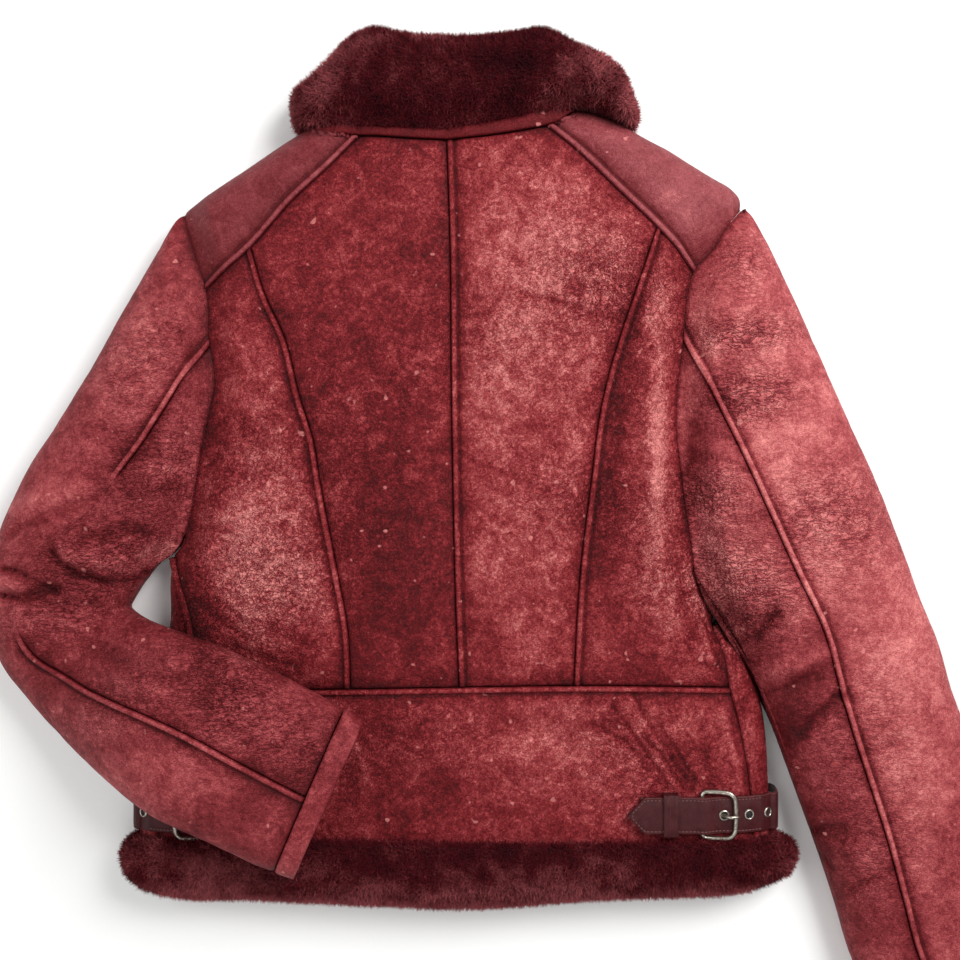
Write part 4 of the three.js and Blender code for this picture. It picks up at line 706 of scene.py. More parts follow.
@dataclass(frozen=True)
class HideFinish:
    """Napped hide: its tones, how blotchy, smooth and shiny it is and which way its wrinkles run."""

    name: str
    shift: float = 0.0
    blotch: float = 1.0
    roughness: float = 0.6
    least: float = 0.3
    stretch: tuple[float, float, float] = (1.0, 1.0, 1.0)
    deep: tuple[float, float, float] = linear(48, 0, 4)
    dark: tuple[float, float, float] = linear(80, 8, 14)
    middle: tuple[float, float, float] = linear(114, 23, 29)
    light: tuple[float, float, float] = linear(150, 58, 61)
    pale: tuple[float, float, float] = linear(210, 126, 122)

    def make(self) -> bpy.types.Material:
        """Builds the material."""
        material, n, shader = start_material(self.name)
        where = n.add("ShaderNodeTexCoord").outputs["Object"]
        tone = n.add("ShaderNodeAttribute", attribute_name="tone").outputs["Fac"]
        fine = n.add("ShaderNodeAttribute", attribute_name="fine").outputs["Fac"]
        cloud = n.ranged(n.noise(where, 19.0, 3.0, 0.6, 0.5), 0.3, 0.7, -1.0, 1.0)
        mottle = n.ranged(n.noise(where, 95.0, 4.0, 0.66, 0.8), 0.3, 0.7, -1.0, 1.0)
        speck = n.ranged(n.noise(where, 400.0, 3.0, 0.7), 0.3, 0.7, -1.0, 1.0)
        nap = n.ranged(n.noise(where, 1250.0, 1.0, 0.6), 0.3, 0.7, -1.0, 1.0)
        level = n.math("MULTIPLY_ADD", cloud, 0.1 * self.blotch, 0.54 + self.shift)
        level = n.math("MULTIPLY_ADD", mottle, 0.15 * self.blotch, level)
        level = n.math("MULTIPLY_ADD", speck, 0.12 * self.blotch, level)
        level = n.math("MULTIPLY_ADD", nap, 0.09, level)
        level = n.math("MULTIPLY_ADD", tone, 0.42, level)
        wrinkle, puff = self.wrinkles(n, where, fine)
        # Painted shade in the wrinkle lines and a painted highlight where the hide puffs up between them.
        level = n.math("MULTIPLY_ADD", wrinkle, -0.27, level)
        level = n.math("MULTIPLY_ADD", puff, 0.1, level)
        colour = n.ramp(level, [(0.0, self.deep), (0.3, self.dark), (0.5, self.middle), (0.7, self.light), (1.0, self.pale)])
        fleck = n.ranged(n.noise(where, 130.0, 1.0, 0.4), 0.745, 0.79)
        colour = n.blend(n.math("MULTIPLY", fleck, 0.6), colour, self.pale)
        n.tree.links.new(colour, shader.inputs["Base Color"])
        n.tree.links.new(n.ranged(speck, -1.0, 1.0, self.roughness - 0.07, self.roughness + 0.1), shader.inputs["Roughness"])
        height = n.math("MULTIPLY_ADD", n.noise(where, 230.0, 3.0, 0.62), 0.9, n.math("MULTIPLY", puff, 0.7))
        height = n.math("MULTIPLY_ADD", n.noise(where, 950.0, 1.0, 0.6), 0.3, height)
        height = n.math("MULTIPLY_ADD", wrinkle, -0.7, height)
        bump = n.add("ShaderNodeBump", {"Strength": 0.9, "Distance": 0.0013, "Height": height})
        n.tree.links.new(bump.outputs[0], shader.inputs["Normal"])
        shader.inputs["Specular IOR Level"].default_value = 0.16
        return material

    def wrinkles(self, n: Nodes, where: object, fine: object) -> tuple[bpy.types.NodeSocket, bpy.types.NodeSocket]:
        """Hair-thin wrinkles of worked hide, along the lines where two noises pass their middle.

        Args:
            n: The material's nodes.
            where: The coordinates.
            fine: How wrinkled the hide is there.

        Returns:
            How deep a wrinkle is, and how far the hide puffs up between wrinkles.
        """
        bent = n.add("ShaderNodeVectorMath", {0: where, 1: self.stretch}, operation="MULTIPLY").outputs[0]
        parts = []
        for scale, width, reach in ((150.0, 0.018, 1.0), (330.0, 0.034, 0.85)):
            away = n.math("ABSOLUTE", n.math("SUBTRACT", n.noise(bent, scale, 2.0, 0.6, 0.7), 0.5))
            parts.append((n.ranged(away, 0.0, width, reach, 0.0), away))
        line = n.math("MAXIMUM", parts[0][0], parts[1][0])
        strength = n.ranged(fine, 0.1, 0.9, self.least, 1.0)
        puff = n.math("MULTIPLY", n.ranged(parts[1][1], 0.0, 0.14), strength)
        return n.math("MULTIPLY", line, strength), puff


@dataclass(frozen=True)
class FleeceFinish:
    """Dyed fleece: darker at the tufts' roots, a painted shade between them, and lighter towards their tips."""

    name: str
    deep: tuple[float, float, float]
    middle: tuple[float, float, float]
    tip: tuple[float, float, float]

    def make(self) -> bpy.types.Material:
        """Builds the material."""
        material, n, shader = start_material(self.name)
        where = n.add("ShaderNodeTexCoord").outputs["Object"]
        along_tuft = n.add("ShaderNodeAttribute", attribute_name="tip").outputs["Fac"]
        tone = n.add("ShaderNodeAttribute", attribute_name="tone").outputs["Fac"]
        clump = n.ranged(n.noise(where, 55.0, 3.0, 0.6, 0.5), 0.3, 0.7, -1.0, 1.0)
        fibre = n.ranged(n.noise(where, 520.0, 1.0, 0.6), 0.25, 0.75, -1.0, 1.0)
        level = n.math("MULTIPLY_ADD", clump, 0.22, 0.34)
        level = n.math("MULTIPLY_ADD", fibre, 0.14, level)
        # Darker towards the roots, a painted shade in the pile, and lighter towards the tips.
        level = n.math("MULTIPLY_ADD", along_tuft, 0.26, level)
        level = n.math("MULTIPLY_ADD", tone, 0.5, level)
        colour = n.ramp(level, [(0.0, self.deep), (0.5, self.middle), (1.0, self.tip)])
        n.tree.links.new(colour, shader.inputs["Base Color"])
        bump = n.add("ShaderNodeBump", {"Strength": 0.8, "Distance": 0.0015, "Height": n.noise(where, 420.0, 2.0, 0.7)})
        n.tree.links.new(bump.outputs[0], shader.inputs["Normal"])
        shader.inputs["Roughness"].default_value = 0.9
        shader.inputs["Specular IOR Level"].default_value = 0.05
        shader.inputs["Sheen Weight"].default_value = 0.06
        shader.inputs["Sheen Roughness"].default_value = 0.5
        shader.inputs["Sheen Tint"].default_value = (1.0, 0.55, 0.6, 1.0)
        return material


@dataclass(frozen=True)
class StrapFinish:
    """Smooth dark strap leather with a fine grain and rubbed edges."""

    name: str
    colour: tuple[float, float, float]
    rubbed: tuple[float, float, float]

    def make(self) -> bpy.types.Material:
        """Builds the material."""
        material, n, shader = start_material(self.name)
        where = n.add("ShaderNodeTexCoord").outputs["Object"]
        edge = n.add("ShaderNodeAttribute", attribute_name="edge").outputs["Fac"]
        patchy = n.ranged(n.noise(where, 160.0, 4.0, 0.6), 0.3, 0.7)
        colour = n.blend(n.math("MULTIPLY", patchy, 0.35), self.colour, self.rubbed)
        colour = n.blend(n.math("MULTIPLY", edge, n.ranged(patchy, 0.0, 1.0, 0.25, 0.9)), colour, self.rubbed)
        n.tree.links.new(colour, shader.inputs["Base Color"])
        cells = n.add("ShaderNodeTexVoronoi", {"Vector": where, "Scale": 1300.0}, feature="DISTANCE_TO_EDGE").outputs[0]
        grain = n.math("MULTIPLY_ADD", n.noise(where, 500.0, 3.0), 0.6, n.ranged(cells, 0.0, 0.25))
        bump = n.add("ShaderNodeBump", {"Strength": 0.4, "Distance": 0.0003, "Height": grain})
        n.tree.links.new(bump.outputs[0], shader.inputs["Normal"])
        n.tree.links.new(n.ranged(patchy, 0.0, 1.0, 0.3, 0.46), shader.inputs["Roughness"])
        shader.inputs["Specular IOR Level"].default_value = 0.2
        return material


@dataclass(frozen=True)
class MetalFinish:
    """Aged nickel, dull and brownish in patches."""

    name: str
    bright: tuple[float, float, float]
    aged: tuple[float, float, float]

    def make(self) -> bpy.types.Material:
        """Builds the material."""
        material, n, shader = start_material(self.name)
        where = n.add("ShaderNodeTexCoord").outputs["Object"]
        age = n.ranged(n.noise(where, 420.0, 4.0, 0.65), 0.35, 0.7)
        n.tree.links.new(n.blend(age, self.bright, self.aged), shader.inputs["Base Color"])
        n.tree.links.new(n.ranged(age, 0.0, 1.0, 0.22, 0.5), shader.inputs["Roughness"])
        bump = n.add("ShaderNodeBump", {"Strength": 0.15, "Distance": 0.0002, "Height": n.noise(where, 900.0, 3.0)})
        n.tree.links.new(bump.outputs[0], shader.inputs["Normal"])
        shader.inputs["Metallic"].default_value = 1.0
        return material


@dataclass(frozen=True)
class PlainFinish:
    """One colour with a faint mottle, for thread, the floor and the painted shade in the eyelets."""

    name: str
    colour: tuple[float, float, float]
    other: tuple[float, float, float]
    roughness: float

    def make(self) -> bpy.types.Material:
        """Builds the material."""
        material, n, shader = start_material(self.name)
        where = n.add("ShaderNodeTexCoord").outputs["Object"]
        n.tree.links.new(n.blend(n.noise(where, 300.0, 3.0), self.colour, self.other), shader.inputs["Base Color"])
        shader.inputs["Roughness"].default_value = self.roughness
        return material


@dataclass
class Finishes:
    """The materials of the whole jacket."""

    hide: bpy.types.Material = field(default_factory=HideFinish("hide").make)
    saddle: bpy.types.Material = field(default_factory=HideFinish(
        "saddle_hide", shift=0.0, blotch=0.55, roughness=0.55, least=0.05, middle=linear(110, 38, 43), light=linear(140, 66, 70)).make)
    sleeve: bpy.types.Material = field(default_factory=HideFinish(
        "sleeve_hide", shift=0.02, blotch=0.8, least=0.06, stretch=(0.4, 1.0, 1.0), middle=linear(118, 36, 41),
        light=linear(156, 68, 71)).make)
    piping: bpy.types.Material = field(default_factory=HideFinish("piping_hide", shift=-0.16, blotch=0.4, least=0.1).make)
    fleece: bpy.types.Material = field(default_factory=FleeceFinish(
        "fleece", linear(30, 0, 4), linear(80, 16, 23), linear(152, 76, 80)).make)
    strap: bpy.types.Material = field(default_factory=StrapFinish(
        "strap_hide", linear(52, 10, 16), linear(86, 36, 36)).make)
    # Painted shade that fills the eyelets' holes.
    hole: bpy.types.Material = field(default_factory=PlainFinish("hole", linear(14, 8, 8), linear(24, 14, 14), 0.8).make)
    nickel: bpy.types.Material = field(default_factory=MetalFinish(
        "nickel", linear(196, 190, 180), linear(120, 108, 94)).make)
    thread: bpy.types.Material = field(default_factory=PlainFinish(
        "thread", linear(96, 62, 62), linear(120, 84, 80), 0.7).make)
    floor: bpy.types.Material = field(default_factory=PlainFinish(
        "floor", (0.86, 0.86, 0.85), (0.88, 0.88, 0.875), 0.85).make)


def finish_sheet(surface: Surface, name: str, materials: Sequence[bpy.types.Material],
                 nodes: Sequence[str]) -> bpy.types.Object:
    """Args:
        surface: The piece's places and faces.
        name: The piece's name.
        materials: Its materials.
        nodes: The solids that it stands for.

    Returns:
        The object.
    """
    piece = surface.build(name, materials)
    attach(piece, "root")
    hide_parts(*nodes)
    return piece


@dataclass
class BackPanels:
    """The seven cut pieces of the back."""

    finishes: Finishes
    step: float = 1.8
    hide: float = 2.2

    def lay(self, name: str, borders: tuple[Array, Array, Array, Array], edges: tuple[Edge, Edge, Edge, Edge],
            finish: bpy.types.Material, calm: float = 1.0) -> bpy.types.Object:
        """Lays one panel of hide between four seams.

        Args:
            name: The solid's name, which the piece takes over.
            borders: Its top, bottom, start and end lines.
            edges: How those four edges are finished.
            finish: Its material.
            calm: How strong its fine relief is.

        Returns:
            The panel.
        """
        plan, across, down = patch(*borders, self.step)
        x, y = plan[..., 0], plan[..., 1]
        base = np.dstack([x, y, body_top(x, y)])
        normal = grid_normals(base)
        normal = np.where(normal[..., 2:].mean() < 0, -normal, normal)
        relief, fine, tone = crease_relief(base)
        ends = (down[..., 0], down[..., 1], across[..., 0], across[..., 1])
        seam = sum(edge.relief(d) for edge, d in zip(edges, ends))
        lapped = np.max([np.exp(-(np.maximum(d - 3.8, 0) / 0.8) ** 2) * (edge is Edge.LAPPED) for edge, d in zip(edges, ends)], axis=0)
        quiet = ease(np.min(ends, axis=0) / 6.0) * (1 - 0.8 * lapped)
        # Painted shade along each edge and in the valley beside it; the other light and dark patches are weaker on a
        # lapped strip.
        tone = tone * (1 - 0.4 * lapped)
        for edge, d in zip(edges, ends):
            tone = tone + edge.shade(d)
        outer = base + normal * (relief * quiet * calm + seam)[..., None]
        inner = base - normal * self.hide
        places, faces = close_sheet(outer, inner, thin=True)
        surface = Surface()
        surface.add(places, faces, tone=np.concatenate([tone.ravel()] * 2),
                    fine=np.concatenate([(fine * (1 - 0.7 * lapped) * calm).ravel()] * 2))
        return finish_sheet(surface, name + "_hide", [finish], [name])

    def build(self) -> list[bpy.types.Object]:
        """Builds all panels."""
        made = []
        c = CURVES
        for side in ("left", "right"):
            left = side == "left"
            outer = np.vstack([piece_of(f"saddle_{side}", 0, 3), c[f"side_back_{side}"][1:]])
            waist_x = np.linspace(outer[-1, 0], 3.5, 30)
            bottom = np.stack([waist_x, at_x(c["waist"], waist_x)], -1)
            neck_x = np.linspace(outer[0, 0], -5.5, 30)
            top = np.stack([neck_x, np.minimum(at_x(c["neck_low"], neck_x), 268.0) - 0.4], -1)
            outer[0], outer[-1] = top[0], bottom[0]
            centre = c["centre_back"].copy()
            centre[0], centre[-1] = top[-1], bottom[-1]
            made.append(self.lay(f"back_centre_{side}", (top, bottom, outer, centre),
                                 (Edge.TUCKED, Edge.TUCKED, Edge.TUCKED, Edge.TUCKED if left else Edge.LAPPED),
                                 self.finishes.hide))
            first = 2 if left else 3
            armhole = piece_of(f"armhole_{side}", first)
            seam = c[f"side_seam_{side}"]
            waist_at = -155.5 if left else -152.8
            outer = np.vstack([armhole[:-1], seam[seam[:, 1] > waist_at], [(at_y(seam, waist_at), waist_at)]])
            inner = c[f"side_back_{side}"].copy()
            waist_x = np.linspace(outer[-1, 0], inner[-1, 0], 30)
            bottom = np.stack([waist_x, at_x(c["waist"], waist_x)], -1)
            top = piece_of(f"saddle_{side}", 3)[::-1].copy()
            outer[0], inner[0], outer[-1], inner[-1] = top[0], top[-1], bottom[0], bottom[-1]
            made.append(self.lay(f"back_side_{side}", (top, bottom, outer, inner),
                                 (Edge.TUCKED, Edge.TUCKED, Edge.JOINED, Edge.LAPPED), self.finishes.hide))
            made.append(self.saddle(side))
        made.append(self.waist())
        return made

    def saddle(self, side: str) -> bpy.types.Object:
        """The shoulder's saddle, rolled over the shoulder line down to the floor."""
        left = side == "left"
        shoulder, seam = CURVES[f"shoulder_{side}"], CURVES[f"saddle_{side}"]
        arm_end = piece_of(f"armhole_{side}", 0, 2 if left else 3)
        v = spread(np.array([lengths(seam)[-1]]), self.step)[0]
        start, end = along(shoulder, v), along(seam, v)
        width = np.linalg.norm(start - end, axis=1)
        under = np.array([14.8, 11.0, 8.6, 6.6, 4.8, 3.3, 2.0, 1.0, 0.3])
        near = np.array([0.0, 0.3, 1.0, 2.0, 3.4, 5.0, 7.0, 9.5])
        seam_share = 1 - SEAM_STEPS[::-1][None] / width[:, None]
        count = round((float(width.mean()) - 18) / self.step)
        near_share = near[None] / width[:, None]
        inner = mix(near_share[:, -1:], seam_share[:, :1], (np.arange(1, count) / count)[None])
        u = np.hstack([under[None] / width[:, None], near_share, inner, seam_share])
        flip = np.hstack([np.ones(len(under), bool), np.zeros(u.shape[1] - len(under), bool)])
        straight = mix(start[:, None], end[:, None], u[..., None])
        chord = mix(arm_end[0], arm_end[-1], u[..., None])
        bow = ease((v - 0.7) / 0.3)[:, None, None]
        plan = straight + (along(arm_end, u) - chord) * bow
        neck = np.minimum(plan[..., 1], at_x(CURVES["neck_low"], plan[..., 0]) - 0.4)
        plan[..., 1] = np.where((plan[..., 0] > -104) & (plan[..., 0] < 88), neck, plan[..., 1])
        x, y = plan[..., 0], plan[..., 1]
        edge = distance(x, y, [shoulder])
        z = np.where(flip[None], under_rim(edge), body_top(x, y))
        base = np.dstack([x, y, z])
        normal = grid_normals(base)
        if normal[:, -20:, 2].mean() < 0:
            normal = -normal
        relief, fine, tone = crease_relief(base)
        d_seam, d_neck, d_arm = (1 - u) * width[:, None], (v * lengths(seam)[-1])[:, None], ((1 - v) * lengths(seam)[-1])[:, None]
        d_seam = np.where(flip[None], 99.0, d_seam)
        fold = Edge.LAPPED.relief(d_seam) + Edge.TUCKED.relief(d_neck) + Edge.JOINED.relief(d_arm)
        lapped = np.exp(-(np.maximum(d_seam - 3.8, 0) / 0.8) ** 2)
        quiet = ease(np.minimum(np.minimum(d_seam, d_neck), d_arm) / 6) * (1 - 0.8 * lapped)
        outer = base + normal * (relief * quiet * 0.55 + fold)[..., None]
        outer[..., 2] = np.maximum(outer[..., 2], 0.05)
        hidden = base - normal * self.hide
        hidden[..., 2] = np.maximum(hidden[..., 2], 0.3)
        places, faces = close_sheet(outer, hidden, thin=True)
        # Painted shade beside the seams, and a painted highlight on the raised lapped strip.
        tone = tone + Edge.LAPPED.shade(d_seam) + Edge.JOINED.shade(d_arm) + 0.15 * lapped
        surface = Surface()
        surface.add(places, faces, tone=np.concatenate([tone.ravel()] * 2), fine=np.concatenate([(fine * 0.4).ravel()] * 2))
        return finish_sheet(surface, f"shoulder_saddle_{side}_hide", [self.finishes.saddle],
                            [f"shoulder_saddle_{side}"])

    def waist(self) -> bpy.types.Object:
        """The waist panel, from side seam to side seam."""
        seam_left, seam_right = CURVES["side_seam_left"], CURVES["side_seam_right"]
        top_x = np.linspace(-198, 203, 60)
        low_x = np.linspace(-218.3, 220.4, 60)
        top = np.stack([top_x, at_x(CURVES["waist"], top_x) - GAP], -1)
        bottom = np.stack([low_x, at_x(CURVES["hem_top"], low_x) + GAP], -1)
        start = np.vstack([top[:1], seam_left[(seam_left[:, 1] < -157) & (seam_left[:, 1] > -264)], bottom[:1]])
        end = np.vstack([top[-1:], seam_right[(seam_right[:, 1] < -155) & (seam_right[:, 1] > -264)], bottom[-1:]])
        return self.lay("back_waist_panel", (top, bottom, start, end), (Edge.LAPPED, Edge.FREE, Edge.TUCKED, Edge.TUCKED),
                        self.finishes.hide)


@dataclass
class FrontPanels:
    """The two fronts, which lie underneath and turn up round the sides to the side seams."""

    finishes: Finishes
    step: float = 5.0
    hide: float = 2.4

    def build(self) -> list[bpy.types.Object]:
        """Builds both fronts."""
        return [self.front(side) for side in ("left", "right")]

    def shell(self, surface: Surface, base: Array, seam: Array, up: bool) -> Array:
        """Adds one thin shell to a front."""
        normal = grid_normals(base)
        probe = normal[:, 2, 2].mean()
        if (probe > 0) != up:
            normal = -normal
        relief, fine, tone = crease_relief(base)
        outer = base + normal * (relief * 0.5 * ease(base[..., 2] / 8) + seam)[..., None]
        outer[..., 2] = np.maximum(outer[..., 2], 0.0)
        places, faces = close_sheet(outer, base - normal * self.hide, thin=True)
        surface.add(places, faces, tone=np.concatenate([tone.ravel()] * 2), fine=np.concatenate([fine.ravel()] * 2))
        return outer

    def front(self, side: str) -> bpy.types.Object:
        """One front: a flat part under the back and a part that turns up to the side seam."""
        left = side == "left"
        sign = -1 if left else 1
        closure = FRONT_EDGE_X + sign * 0.15
        shoulder, armhole = CURVES[f"shoulder_{side}"], CURVES[f"armhole_{side}"]
        edge, seam, neck = CURVES[f"side_{side}"], CURVES[f"side_seam_{side}"], CURVES[f"front_neck_{side}"]
        start = -58.5 if left else -108.5
        lowest = HEM_SEAM_Y + GAP
        tip = armhole[0, 1] - 21.0
        surface = Surface()
        y = np.concatenate([np.arange(238 if left else 250, start, -self.step), [start]])
        at_shoulder = np.abs(at_y(shoulder, y + 13.9)) - 8.1
        clear = GAP + 12 * np.clip((y - tip) / 15, 0, 1)
        at_armhole = np.where(y > armhole[0, 1], 999.0, np.abs(at_y(armhole, y)) - clear)
        outer_x = sign * np.minimum(at_armhole, np.where(y > tip, at_shoulder, 999.0))
        inner_x = np.where(y > 184, at_y(neck, y), closure)
        u = np.linspace(0, 1, 44)[None]
        flat = np.dstack([mix(inner_x[:, None], outer_x[:, None], u), np.repeat(y[:, None], 44, 1), np.zeros((len(y), 44))])
        upper = self.shell(surface, flat, np.zeros(flat.shape[:2]), False)
        y = np.concatenate([np.arange(start - 0.3, lowest, -2.4), [lowest]])
        side_x = at_y(edge, y)
        seam_x = sign * np.minimum(np.abs(at_y(seam, y)), np.abs(side_x) - 2)
        under = np.array([11.0, 9.0, 7.2, 5.6, 4.2, 3.0, 1.9, 1.0, 0.3, 0.0])
        bottom_x = np.hstack([mix(closure, (side_x - sign * 11.0)[:, None], np.linspace(0, 1, 40)[None, :-1]),
                              side_x[:, None] - sign * under[None]])
        near = np.array([0.0, 0.3, 0.8, 1.6, 2.6, 4.0, 5.6])
        gap = np.abs(side_x - seam_x)
        over = np.minimum(near[None], gap[:, None] * (np.arange(7) / 20)[None])
        to_seam = np.hstack([over, mix(over[:, -1:], gap[:, None], (1 - (1 - np.linspace(0, 1, 16)) ** 1.5)[None, 1:])])
        top_x = side_x[:, None] - sign * to_seam
        rows_y = np.repeat(y[:, None], bottom_x.shape[1], 1)
        bottom = np.dstack([bottom_x, rows_y, under_rim(distance(bottom_x, rows_y, [edge]))])
        rows_y = np.repeat(y[:, None], top_x.shape[1], 1)
        top = np.dstack([top_x, rows_y, body_top(top_x, rows_y)])
        base = np.concatenate([bottom, top], axis=1)
        d_seam = np.concatenate([np.full(bottom.shape[:2], 99.0), gap[:, None] - to_seam], axis=1)
        lower = self.shell(surface, base, Edge.LAPPED.relief(np.maximum(d_seam, 0)), False)
        return finish_sheet(surface, f"front_{side}_hide", [self.finishes.hide], [f"front_{side}"])


@dataclass
class Sleeve:
    """A sleeve of two cut pieces and a cuff band."""

    side: str
    rows: list[tuple[float, ...]]
    folds: list[tuple[float, ...]]
    finishes: Finishes
    step: float = 2.0
    hide: float = 2.2
    wall: float = 15.0
    front_seam_share: float = 0.27
    cuff_rows: int = 2
    mouth_gap: float = 15.0
    mouth_depth: float = 70.0
    hidden_seam: tuple[int, int] = (0, 0)

    def __post_init__(self) -> None:
        """Works out the smooth table and the length along the sleeve."""
        middle = [((ox + ix) / 2, (oy + iy) / 2, ox, oy, ix, iy, *rest) for ox, oy, ix, iy, *rest in self.rows]
        self.table = smooth(middle, 8)
        self.travel = lengths(self.table)
        self.cuff_at = float(self.travel[(len(self.rows) - self.cuff_rows) * 8])

    def section(self, s: Array) -> dict[str, Array]:
        """Outer and inner edge, seam, height and underside at places along the sleeve."""
        names = ("ox", "oy", "ix", "iy", "seam", "high", "low_o", "low_i")
        values = {name: np.interp(s, self.travel, self.table[:, k + 2]) for k, name in enumerate(names)}
        values["width"] = np.hypot(values["ox"] - values["ix"], values["oy"] - values["iy"])
        return values

    def place(self, s: Array, d: Array, over: Array, drop: Array) -> Array:
        """Places on the sleeve's skin.

        Args:
            s: Distance along the sleeve.
            d: Distance from the inner edge.
            over: Whether the place is on the upper half.
            drop: Share of the way down the side wall, for the places between both halves.

        Returns:
            The places.
        """
        row = self.section(s)
        width, share = row["width"], d / row["width"]
        x, y = mix(row["ix"], row["ox"], share), mix(row["iy"], row["oy"], share)
        reach, middle = 0.42 * width, 0.42 * row["high"]
        base = mix(row["low_i"], row["low_o"], share)
        calm = ease(np.minimum(d, width - d) / 22)
        free = base + middle + 2 + (row["high"] - middle - 2) * roll(d, reach) * roll(width - d, reach)
        free = free + fold_rise(x, y, self.folds) * calm
        cut = (row["low_o"] > 0) | (row["low_i"] > 0) | (y < -70 - 50 * (x > 0))
        near = np.where(cut, 1.0, ease(distance(x, y, ARMHOLES) / ARMHOLE_REACH))
        top = mix(armhole_top(x, y), free, near)
        low = base + (middle - 2) * (1 - roll(np.minimum(d, width - d), LOW_ROLL))
        return np.stack([x, y, np.where(over, mix(top, low, drop), low)], -1)

    def armhole(self) -> Array:
        """The closed outline that the body takes out of the sleeve."""
        left = self.side == "left"
        edge = piece_of(f"side_{self.side}", 1, 2) if left else piece_of(f"side_{self.side}", 1)
        line = np.vstack([CURVES[f"armhole_{self.side}"], edge])
        direction = np.gradient(line, axis=0)
        direction /= np.linalg.norm(direction, axis=1, keepdims=True)
        away = -1 if left else 1
        line = line + np.stack([-direction[:, 1], direction[:, 0]], -1) * away * 0.06
        x, y = abs(line[0, 0]), line[0, 1]
        head = [(x + 60, 320), (x + 17, y - 10), (x + 13, y - 4.5), (x + 8, y - 1.2), (x + 3, y)]
        return np.vstack([line, [(0, line[-1, 1]), (0, 320)], np.array(head) * (away, 1)])

    def paths(self, top: bool) -> Callable[[Array], tuple[Array, Array, Array]]:
        """How a cut piece runs round the sleeve.

        Args:
            top: True for the top sleeve, False for the under sleeve.

        Returns:
            A function from places along the sleeve to distances from the inner edge, whether each is on
            the upper half and how far down the side wall it is.
        """
        fan = np.sin(np.linspace(0, 1, 46 if top else 34)[1:] * math.pi / 2)
        side = np.array([0.35, 0.7])
        under = np.array([0.0, 0.4, 1.2, 2.4, 4.0, 6.0, 8.4, 11.0])
        flat = np.linspace(0, 1, 12)[1:]

        def across(s: Array) -> tuple[Array, Array, Array]:
            """Distances across the sleeve for one column of places along it."""
            row = self.section(s)
            width, seam = row["width"][:, None], row["seam"][:, None]
            front = width * self.front_seam_share
            far = width if top else np.zeros_like(width)
            sign = 1 if top else -1
            steps = seam + sign * (SEAM_STEPS[None] + 0.15)
            skin = mix(seam + sign * (SEAM_STEPS[-1] + 0.15), far, fan[None])
            walls = np.repeat(far, 2, 1)
            rolled = far - sign * under[None]
            rest = mix(far - sign * 11.0, front + sign * 0.15, flat[None])
            d = np.hstack([steps, skin, walls, rolled, rest])
            over = np.hstack([np.ones(steps.shape[1] + skin.shape[1] + 2, bool), np.zeros(19, bool)])
            drop = np.hstack([np.zeros(steps.shape[1] + skin.shape[1]), side, np.zeros(19)])
            return d, np.broadcast_to(over, d.shape), np.broadcast_to(drop, d.shape)

        return across

    def starts(self, across: Callable[[Array], tuple[Array, Array, Array]], columns: int) -> Array:
        """Where each column leaves the armhole, as a distance along the sleeve."""
        armhole = self.armhole()
        column = np.arange(columns)

        def within(s: Array, pick: Array | slice) -> Array:
            """Whether places along the sleeve are inside the armhole."""
            d = across(s)[0][pick]
            row = self.section(s)
            share = d / row["width"][(slice(None), None) if d.ndim > 1 else slice(None)]
            wide = (slice(None), None) if d.ndim > 1 else slice(None)
            return inside(mix(row["ix"][wide], row["ox"][wide], share), mix(row["iy"][wide], row["oy"][wide], share), armhole)

        s = np.linspace(0, self.cuff_at * (0.48 if self.side == "left" else 0.75), 500)
        found = within(s, slice(None))
        last = np.where(found.any(0), len(s) - 1 - np.argmax(found[::-1], axis=0), 0)
        low, high = s[last], s[np.minimum(last + 1, len(s) - 1)]
        for _ in range(12):
            middle = (low + high) / 2
            still = within(middle, (column, column))
            low, high = np.where(still, middle, low), np.where(still, high, middle)
        return high

    def cut_piece(self, top: bool) -> bpy.types.Object:
        """The top sleeve, or the under sleeve."""
        across = self.paths(top)
        columns = across(np.array([10.0]))[0].shape[1]
        first = self.starts(across, columns)
        if top:
            wall = len(SEAM_STEPS) + 45
            first[wall: wall + 10] += 3.0 * np.array([0.6, 1.0, 1.0, 0.97, 0.9, 0.78, 0.64, 0.45, 0.24, 0.0])
        end = self.cuff_at
        t = spread(np.array([end - float(first.mean())]), self.step)[0]
        s = first[None] + (end - 0.15 - first[None]) * t[:, None]
        d = np.zeros_like(s)
        over, drop = np.zeros_like(s), np.zeros_like(s)
        for j in range(columns):
            dj, oj, pj = across(s[:, j])
            d[:, j], over[:, j], drop[:, j] = dj[:, j], oj[:, j], pj[:, j]
        base = self.place(s, d, over > 0.5, drop)
        normal = grid_normals(base)
        if normal[:, :20, 2].mean() < 0:
            normal = -normal
        relief, fine, tone = crease_relief(base)
        row = self.section(s)
        from_seam = np.where(over > 0.5, np.abs(d - row["seam"]), 99.0)
        from_front = np.where(over > 0.5, 99.0, np.abs(d - row["width"] * self.front_seam_share))
        from_armhole, from_cuff = s - first[None], end - s
        gone = [self.travel[8 * row] for row in self.hidden_seam]
        kept = 1 - ease((s - gone[0]) / 14) * ease((gone[1] - s) / 14)
        seam = (Edge.LAPPED if top else Edge.TUCKED).relief(from_seam) * kept + Edge.JOINED.relief(from_armhole)
        seam = seam + Edge.TUCKED.relief(from_cuff) + 0.4 * Edge.TUCKED.relief(from_front)
        seam = np.where(base[..., 2] - mix(row["low_i"], row["low_o"], d / row["width"]) < 2.0, np.minimum(seam, 0.0), seam)
        lapped = np.exp(-(np.maximum(from_seam - 3.8, 0) / 0.8) ** 2) * top * kept
        quiet = ease(np.minimum.reduce([from_seam, from_armhole, from_cuff]) / 6) * (1 - 0.8 * lapped)
        quiet = quiet * np.where(over > 0.5, 1.0, 0.25)
